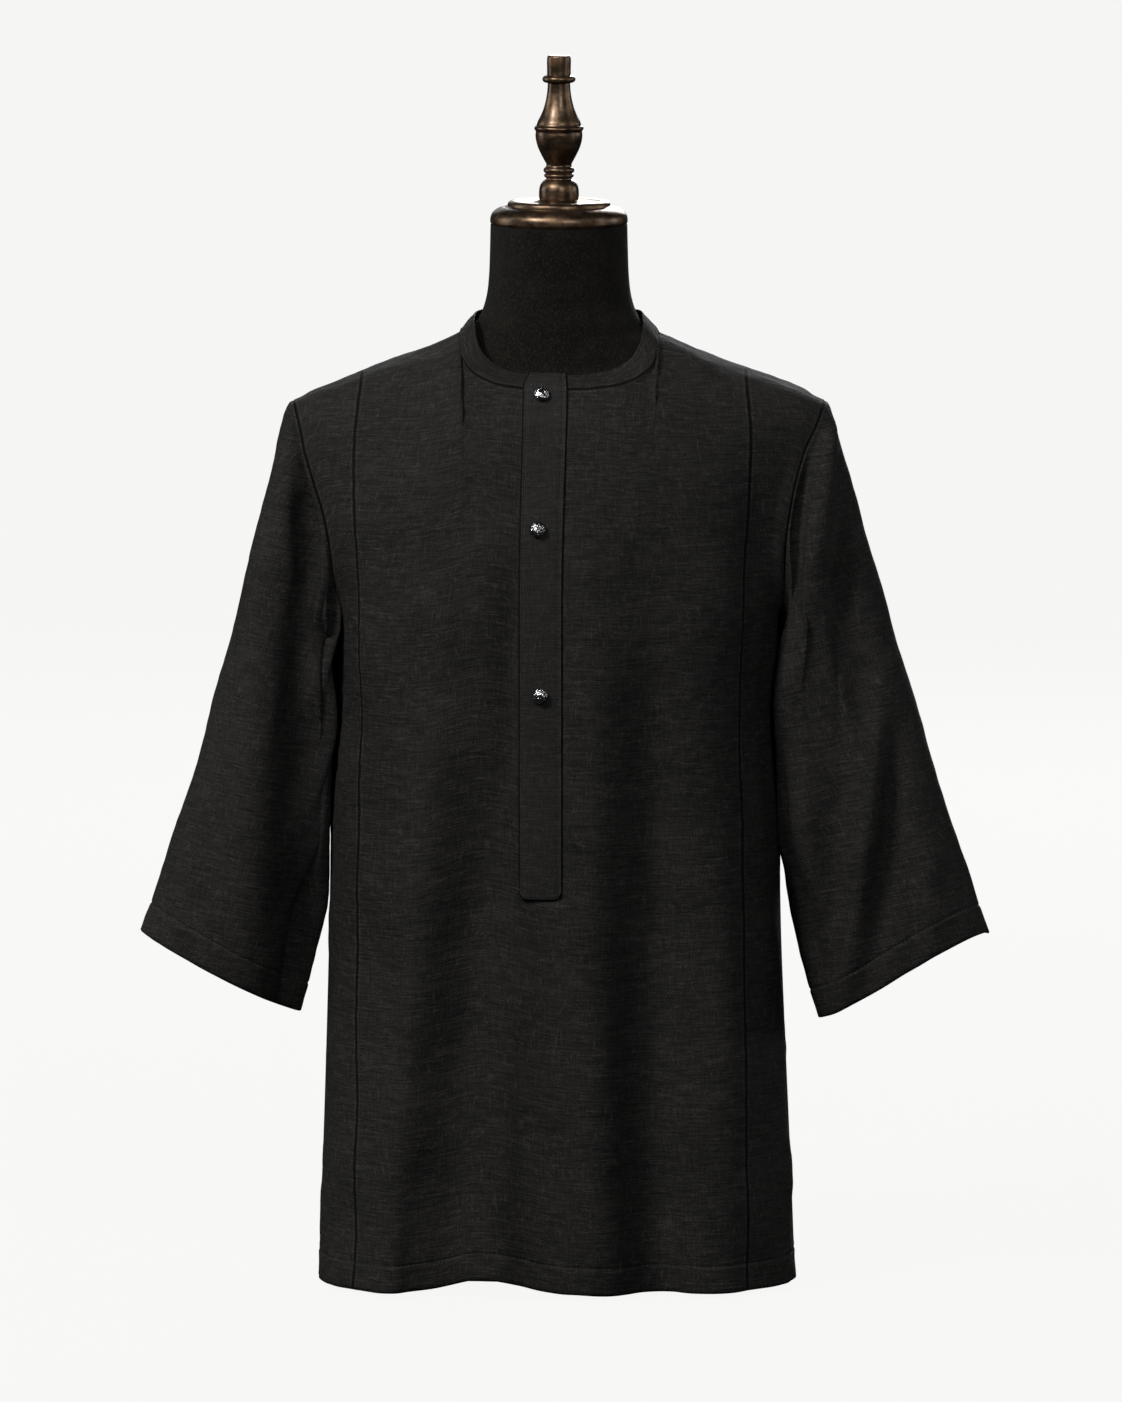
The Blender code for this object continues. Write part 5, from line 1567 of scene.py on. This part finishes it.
def buttonhole_places(placket):
    """The ends of the upright buttonholes that show past each button.

    Also the short tack beside the middle one.
    """
    outer, square = placket
    spots, ways = [], []
    for index, (x, height) in enumerate(BUTTONS):
        spot, out, up = placket_spot(outer, square, x, height)
        right = unit(np.cross(up, out))
        # way from the button, how far, and which buttons have it
        ends = ((up, 9.6 * MM, (0, 1, 2)), (-up, 9.9 * MM, (2,)), (right, 13.4 * MM, (1,)))
        for way, reach, wanted in ends:
            if index in wanted:
                spots.append(spot + way * reach + out * 0.05 * MM)
                ways.append(way)
    return np.array(spots), np.array(ways)


def stitches_at(name, spots, ways, tree, length, thickness, material):
    mesh = bpy.data.meshes.new(f"{name}_places")
    mesh.from_pydata(spots.tolist(), [], [])
    along = mesh.attributes.new("along", "FLOAT_VECTOR", "POINT")
    along.data.foreach_set("vector", ways.astype(np.float32).ravel())
    places = bpy.data.objects.new(f"{name}_places", mesh)
    bpy.context.scene.collection.objects.link(places)
    modifier = places.modifiers.new("stitches", "NODES")
    modifier.node_group = tree
    sockets = {s.name: s.identifier for s in tree.interface.items_tree if s.in_out == "INPUT"}
    modifier[sockets["Length"]] = length
    modifier[sockets["Thickness"]] = thickness
    graph = bpy.context.evaluated_depsgraph_get()
    real = bpy.data.meshes.new_from_object(places.evaluated_get(graph))
    real.name = name
    real.shade_smooth()
    bpy.data.objects.remove(places)
    made = bpy.data.objects.new(name, real)
    bpy.context.scene.collection.objects.link(made)
    if not made.data.materials:
        made.data.materials.append(material)
    return made


def line_on(grid, square, distance, wanted):
    """The path over a grid where the distance field reads the wanted length, one point for each column."""
    path, ways = [], []
    for j in range(grid.shape[1]):
        order = np.argsort(distance[:, j])
        path.append([np.interp(wanted, distance[order, j], grid[order, j, k]) for k in range(3)])
        ways.append([np.interp(wanted, distance[order, j], square[order, j, k]) for k in range(3)])
    return np.array(path), unit(np.array(ways))


# Materials: every colour and roughness is linear


class Shader:
    """Short ways to build a Principled material from node pieces."""

    def __init__(self, name, roughness, metallic=0.0, sheen=0.0, sheen_roughness=0.5, specular=0.5, coat=0.0):
        self.material = bpy.data.materials.new(name)
        self.material.use_nodes = True
        self.tree = self.material.node_tree
        self.nodes, self.links = self.tree.nodes, self.tree.links
        self.main = self.nodes["Principled BSDF"]
        for socket, value in (
            ("Roughness", roughness), ("Metallic", metallic), ("Sheen Weight", sheen),
            ("Sheen Roughness", sheen_roughness), ("Specular IOR Level", specular), ("Coat Weight", coat),
        ):
            self.main.inputs[socket].default_value = value

    def node(self, kind, ins=None, **settings):
        made = self.nodes.new(kind)
        for key, value in settings.items():
            setattr(made, key, value)
        for key, value in (ins or {}).items():
            if isinstance(value, bpy.types.NodeSocket):
                self.links.new(value, made.inputs[key])
            else:
                made.inputs[key].default_value = value
        return made

    def stretched(self, source, x, y, z):
        return self.node("ShaderNodeMapping", {"Vector": source, "Scale": (x, y, z)}).outputs["Vector"]

    def noise(self, source, scale, detail=2.0, rough=0.5, warp=0.0):
        ins = {"Vector": source, "Scale": scale, "Detail": detail, "Roughness": rough, "Distortion": warp}
        return self.node("ShaderNodeTexNoise", ins).outputs["Fac"]

    def maths(self, kind, a, b=0.0):
        return self.node("ShaderNodeMath", {0: a, 1: b}, operation=kind).outputs[0]

    def ranged(self, value, low, high, to_low=0.0, to_high=1.0):
        ins = {"Value": value, "From Min": low, "From Max": high, "To Min": to_low, "To Max": to_high}
        return self.node("ShaderNodeMapRange", ins, interpolation_type="SMOOTHSTEP").outputs["Result"]

    def coloured(self, share, low, high):
        node = self.node("ShaderNodeMix", data_type="RGBA")
        node.inputs[6].default_value, node.inputs[7].default_value = (*low, 1.0), (*high, 1.0)
        self.links.new(share, node.inputs[0])
        return node.outputs[2]

    def bumped(self, height, distance, strength=1.0, below=None):
        ins = {"Height": height, "Distance": distance, "Strength": strength}
        if below is not None:
            ins["Normal"] = below
        return self.node("ShaderNodeBump", ins).outputs["Normal"]

    def finish(self, colour=None, roughness=None, normal=None):
        for socket, value in (("Base Color", colour), ("Roughness", roughness), ("Normal", normal)):
            if value is not None:
                self.links.new(value, self.main.inputs[socket])
        return self.material


DARK_YARN = (0.0052, 0.0049, 0.0046)
LIGHT_YARN = (0.068, 0.0635, 0.0598)
# the same yarns where the cloth is doubled and pressed
FIRM_DARK_YARN = (0.0130, 0.0122, 0.0116)
FIRM_LIGHT_YARN = (0.070, 0.0655, 0.0620)


def linen_material(name, dark, light, character, crinkle, roughness=0.85, sheen=0.0):
    """Plain-weave linen: uneven yarns along both threads and squiggles of loose yarn, with painted shade
    along the seams and the hem edge and a painted highlight beside the seams.
    """
    s = Shader(name, roughness, sheen=sheen, sheen_roughness=0.5, specular=0.16)
    cut = s.node("ShaderNodeUVMap", uv_map="cut").outputs["UV"]
    edges = s.node("ShaderNodeSeparateXYZ", {0: s.node("ShaderNodeUVMap", uv_map="edges").outputs["UV"]})
    to_seam, to_hem = edges.outputs["X"], edges.outputs["Y"]
    weft = s.noise(s.stretched(cut, 42.0, 600.0, 1.0), 1.0, 3.0, 0.62, 0.30)
    warp = s.noise(s.stretched(cut, 640.0, 60.0, 1.0), 1.0, 3.0, 0.6, 0.25)
    grain = s.maths("ADD", s.ranged(weft, 0.28, 0.74, 0.0, 1.2), s.ranged(warp, 0.32, 0.74, 0.0, 0.7))

    def squiggles(across, down, patch):
        line = s.noise(s.stretched(cut, across, down, 1.0), 1.0, 1.0, 0.4, 0.4)
        near = s.maths("ABSOLUTE", s.maths("SUBTRACT", line, 0.5))
        thin = s.ranged(near, 0.046, 0.0)
        short = s.ranged(s.noise(s.stretched(cut, *patch, 1.0), 1.0, 2.0, 0.5), 0.47, 0.60)
        return s.maths("MULTIPLY", thin, short)

    loose = s.maths("MAXIMUM", squiggles(60.0, 250.0, (60.0, 210.0)), squiggles(250.0, 80.0, (210.0, 90.0)))
    dots = s.noise(cut, 1150.0, 1.0, 0.5)
    cloud = s.noise(s.stretched(cut, 9.0, 14.0, 1.0), 1.0, 2.0, 0.5)
    tone = s.maths("MULTIPLY", grain, 0.22 * character)
    tone = s.maths("ADD", tone, s.maths("MULTIPLY", loose, 0.24 * character))
    tone = s.maths("ADD", tone, s.ranged(dots, 0.32, 0.68, 0.0, 0.30))
    tone = s.maths("ADD", tone, s.ranged(cloud, 0.30, 0.70, -0.03, 0.04))
    colour = s.coloured(s.ranged(tone, 0.0, 1.0), dark, light)
    # painted shade: the colour goes dark along each seam and along the hem or cuff edge, with a painted
    # highlight band just beside the seam
    painted_shade_and_highlight = s.ranged(to_seam, 1.1 * MM, 1.9 * MM, 0.08, 1.0)
    painted_shade_and_highlight = s.maths("MULTIPLY", painted_shade_and_highlight, s.ranged(to_seam, 1.9 * MM, 2.5 * MM, 1.0, 1.40))
    painted_shade_and_highlight = s.maths("MULTIPLY", painted_shade_and_highlight, s.ranged(to_seam, 3.0 * MM, 4.2 * MM, 1.0, 0.714))
    painted_shade_and_highlight = s.maths("MULTIPLY", painted_shade_and_highlight, s.ranged(to_hem, 0.2 * MM, 1.6 * MM, 0.45, 1.0))
    colour = s.node("ShaderNodeVectorMath", {0: colour, 3: painted_shade_and_highlight}, operation="SCALE").outputs["Vector"]
    dents = s.noise(s.stretched(cut, 80.0, 260.0, 1.0), 1.0, 3.0, 0.55, 0.5)
    soft = s.noise(s.stretched(cut, 16.0, 60.0, 1.0), 1.0, 2.0, 0.5, 0.3)
    normal = s.bumped(soft, 1.2 * MM * crinkle)
    normal = s.bumped(dents, 0.45 * MM * crinkle, 1.0, normal)
    relief = s.maths("ADD", s.maths("MULTIPLY", grain, 0.5), s.maths("MULTIPLY", loose, 0.6))
    normal = s.bumped(s.maths("ADD", relief, s.maths("MULTIPLY", dots, 0.6)), 0.24 * MM, 1.0, normal)
    return s.finish(colour, None, normal)


def cover_material():
    s = Shader("form_jersey", 0.9, sheen=0.06, sheen_roughness=0.5, specular=0.15)
    place = s.node("ShaderNodeTexCoord").outputs["Object"]
    flecks = s.noise(s.stretched(place, 1.0, 1.0, 0.7), 620.0, 3.0, 0.7)
    cloud = s.noise(place, 60.0, 3.0, 0.6)
    tone = s.maths("ADD", s.ranged(flecks, 0.46, 0.72), s.ranged(cloud, 0.35, 0.7, 0.0, 0.25))
    colour = s.coloured(tone, (0.0030, 0.0025, 0.0017), (0.0240, 0.0202, 0.0140))
    normal = s.bumped(flecks, 0.55 * MM)
    return s.finish(colour, None, normal)


def bronze_material():
    """Turned wood under a rubbed bronze finish: dark brown, gold where it wears."""
    s = Shader("bronzed_wood", 0.34, metallic=0.90, specular=0.5, coat=0.06)
    place = s.node("ShaderNodeTexCoord").outputs["Object"]
    mottle = s.noise(s.stretched(place, 1.0, 1.0, 1.6), 80.0, 4.0, 0.62, 0.4)
    fine = s.noise(place, 420.0, 3.0, 0.6)
    worn = s.maths("ADD", s.ranged(mottle, 0.30, 0.76, 0.0, 0.72), s.ranged(fine, 0.35, 0.75, -0.08, 0.20))
    colour = s.coloured(worn, (0.075, 0.052, 0.036), (0.235, 0.145, 0.080))
    rough = s.ranged(mottle, 0.3, 0.7, 0.30, 0.42)
    normal = s.bumped(fine, 0.05 * MM)
    return s.finish(colour, rough, normal)


def button_material():
    """Dark polished metal, a little beaten, so that it breaks up what it mirrors."""
    s = Shader("dark_button_metal", 0.10, metallic=1.0, specular=0.6, coat=0.3)
    place = s.node("ShaderNodeTexCoord").outputs["Object"]
    beaten = s.noise(place, 290.0, 2.0, 0.5, 0.6)
    colour = s.coloured(s.ranged(beaten, 0.35, 0.65), (0.22, 0.22, 0.225), (0.50, 0.50, 0.51))
    return s.finish(colour, None, s.bumped(beaten, 2.4 * MM))


def thread_material():
    s = Shader("linen_thread", 0.6, sheen=0.05, specular=0.3)
    place = s.node("ShaderNodeTexCoord").outputs["Object"]
    twist = s.noise(place, 1500.0, 2.0, 0.5)
    colour = s.coloured(twist, (0.040, 0.040, 0.039), (0.085, 0.085, 0.083))
    return s.finish(colour)


# Floor, light and camera

CAMERA_DISTANCE = 12.0
CAMERA_DOWN = math.radians(6.5)
CAMERA_TARGET = Vector((0.0018, 0.0, 0.5147))
CAMERA_LENS = 36.0 * CAMERA_DISTANCE / 1.2338


def area_light(name, place, target, size, power, colour=(1.0, 1.0, 1.0)):
    light = bpy.data.lights.new(name, "AREA")
    light.shape = "RECTANGLE"
    light.size, light.size_y = size
    light.energy = power
    light.color = colour
    made = bpy.data.objects.new(name, light)
    made.location = place
    made.rotation_euler = (Vector(target) - Vector(place)).to_track_quat("-Z", "Y").to_euler()
    bpy.context.scene.collection.objects.link(made)
    return made


def make_stage():
    """A pale, evenly lit floor, so wide that it fills the view from every side."""
    points = [(x * FLOOR_REACH, y * FLOOR_REACH, 0.0) for x, y in ((-1, -1), (1, -1), (1, 1), (-1, 1))]
    mesh = bpy.data.meshes.new("studio_floor")
    mesh.from_pydata(points, [], [(0, 1, 2, 3)])
    pale = Shader("pale_paper", 1.0, specular=0.0)
    pale.main.inputs["Base Color"].default_value = (0.03, 0.03, 0.03, 1.0)
    pale.main.inputs["Emission Color"].default_value = (1.0, 0.999, 0.991, 1.0)
    pale.main.inputs["Emission Strength"].default_value = PAPER_GLOW
    mesh.materials.append(pale.material)
    floor = bpy.data.objects.new("studio_floor", mesh)
    bpy.context.scene.collection.objects.link(floor)
    floor.visible_diffuse = floor.visible_glossy = False


PAPER_GLOW = 0.914
FLOOR_REACH = 70.0
LIGHTS = (
    # name, place, aimed at, size, power
    ("key", (-2.9, -2.7, 4.0), (0.0, 0.0, 0.70), (1.1, 1.1), 148.0),
    ("front", (1.3, -4.2, 2.8), (0.0, 0.0, 0.70), (1.4, 1.4), 40.0),
    ("back", (0.7, 4.3, 2.3), (0.0, 0.0, 0.60), (1.5, 1.5), 110.0),
    ("right_side", (4.0, 1.2, 1.6), (0.0, 0.0, 0.50), (1.2, 1.2), 14.0),
    ("left_side", (-4.0, 1.2, 1.6), (0.0, 0.0, 0.50), (1.2, 1.2), 14.0),
)
GLINTS = (
    # seen only in the buttons and the turned pieces
    ("left_glint", (-1.4, -2.6, 3.4), (0.0, 0.0, 0.8), (1.7, 1.3), 40.0),
    ("right_glint", (2.6, -0.6, 1.6), (0.0, 0.0, 0.9), (0.5, 2.2), 8.0),
    ("left_edge_glint", (-2.6, 0.3, 1.4), (0.0, 0.0, 0.9), (0.5, 2.2), 8.0),
    ("top_glint", (0.0, 2.9, 1.75), (0.0, 0.0, 0.95), (2.2, 0.9), 5.0),
)
SURROUND = 0.022


def make_light_and_camera():
    for name, place, target, size, power in LIGHTS:
        area_light(name, place, target, size, power).visible_camera = False
    for name, place, target, size, power in GLINTS:
        glint = area_light(name, place, target, size, power)
        glint.visible_diffuse = glint.visible_camera = False
    world = bpy.data.worlds.new("studio")
    world.use_nodes = True
    world.node_tree.nodes["Background"].inputs["Color"].default_value = (1.0, 1.0, 1.0, 1.0)
    world.node_tree.nodes["Background"].inputs["Strength"].default_value = SURROUND
    scene = bpy.context.scene
    scene.world = world
    scene.view_settings.view_transform = "Standard"
    camera = bpy.data.cameras.new("camera")
    camera.lens, camera.sensor_width, camera.sensor_fit = CAMERA_LENS, 36.0, "AUTO"
    camera.clip_end = 60.0
    made = bpy.data.objects.new("camera", camera)
    way = Vector((0.0, -math.cos(CAMERA_DOWN), math.sin(CAMERA_DOWN)))
    made.location = CAMERA_TARGET + way * CAMERA_DISTANCE
    made.rotation_euler = (CAMERA_TARGET - made.location).to_track_quat("-Z", "Y").to_euler()
    scene.collection.objects.link(made)
    scene.camera = made


# In the order that make_stitches takes them
HEM_STITCH = (2.0 * MM, 0.42 * MM, 3.8 * MM, 0.02 * MM)
PLACKET_STITCH = (1.9 * MM, 0.34 * MM, 2.8 * MM, 0.0)


def main():
    linen = linen_material("black_linen", DARK_YARN, LIGHT_YARN, 1.0, 1.0)
    firm_linen = linen_material("firm_black_linen", FIRM_DARK_YARN, FIRM_LIGHT_YARN, 0.85, 0.35)
    cover, wood, metal, thread = cover_material(), bronze_material(), button_material(), thread_material()

    shape = body_shape()
    body, grids, normals = make_body(shape, linen)
    collar = collar_shape(shape)
    collar_piece, band = make_collar(collar, linen)
    collar_at = collar[2]
    placket_piece, outer, square, from_foot = make_shown_placket(shape, grids, band, collar_at, firm_linen)
    sleeves = {}
    for name, sleeve, folds, front_table, back_table, seed in zip(
        ("sleeve_left", "sleeve_right"),
        SLEEVES,
        (LEFT_SLEEVE_FOLDS, RIGHT_SLEEVE_FOLDS),
        (LEFT_FRONT_CREASES, RIGHT_FRONT_CREASES),
        (LEFT_BACK_CREASES, RIGHT_BACK_CREASES),
        (51, 61),
    ):
        sleeves[name] = make_shown_sleeve(
            name, sleeve, folds, front_table, back_table, shape, linen, seed
        )
    make_turned(cover, wood)
    make_buttons((outer, square), metal)

    tree = stitch_nodes(thread)
    hem_paths = []
    for side in ("front", "back"):
        path, ways = line_on(grids[side], normals[side], runs(grids[side], 0), HEM_DEPTH)
        hem_paths.append((path, ways))
    cuffs = []
    for _, grid, ways, to_cuff in sleeves.values():
        path, out = line_on(grid, ways, to_cuff, CUFF_HEM_DEPTH)
        cuffs.append((np.concatenate([path, path[:1]]), np.concatenate([out, out[:1]])))
    for name, paths in (("hem_stitches", hem_paths), ("cuff_stitches", cuffs)):
        dressed(make_stitches(name, paths, tree, *HEM_STITCH, thread), "linen")

    edge = runs(outer, 1)
    edge_back = runs(outer, 1, True)
    lines = []
    for distance in (edge, edge_back):
        path, out = line_on(outer.transpose(1, 0, 2), square.transpose(1, 0, 2), distance.T, 3.2 * MM)
        lines.append((path[3:-2], out[3:-2]))
    path, out = line_on(outer, square, from_foot, 3.6 * MM)
    lines.append((path, out))
    dressed(make_stitches("placket_stitches", lines, tree, *PLACKET_STITCH, thread), "linen")

    spots, ways = buttonhole_places((outer, square))
    holes = stitches_at("buttonhole_ends", spots, ways, tree, 5.4 * MM, 0.75 * MM, thread)
    dressed(holes, "linen")

    make_stage()
    make_light_and_camera()


main()
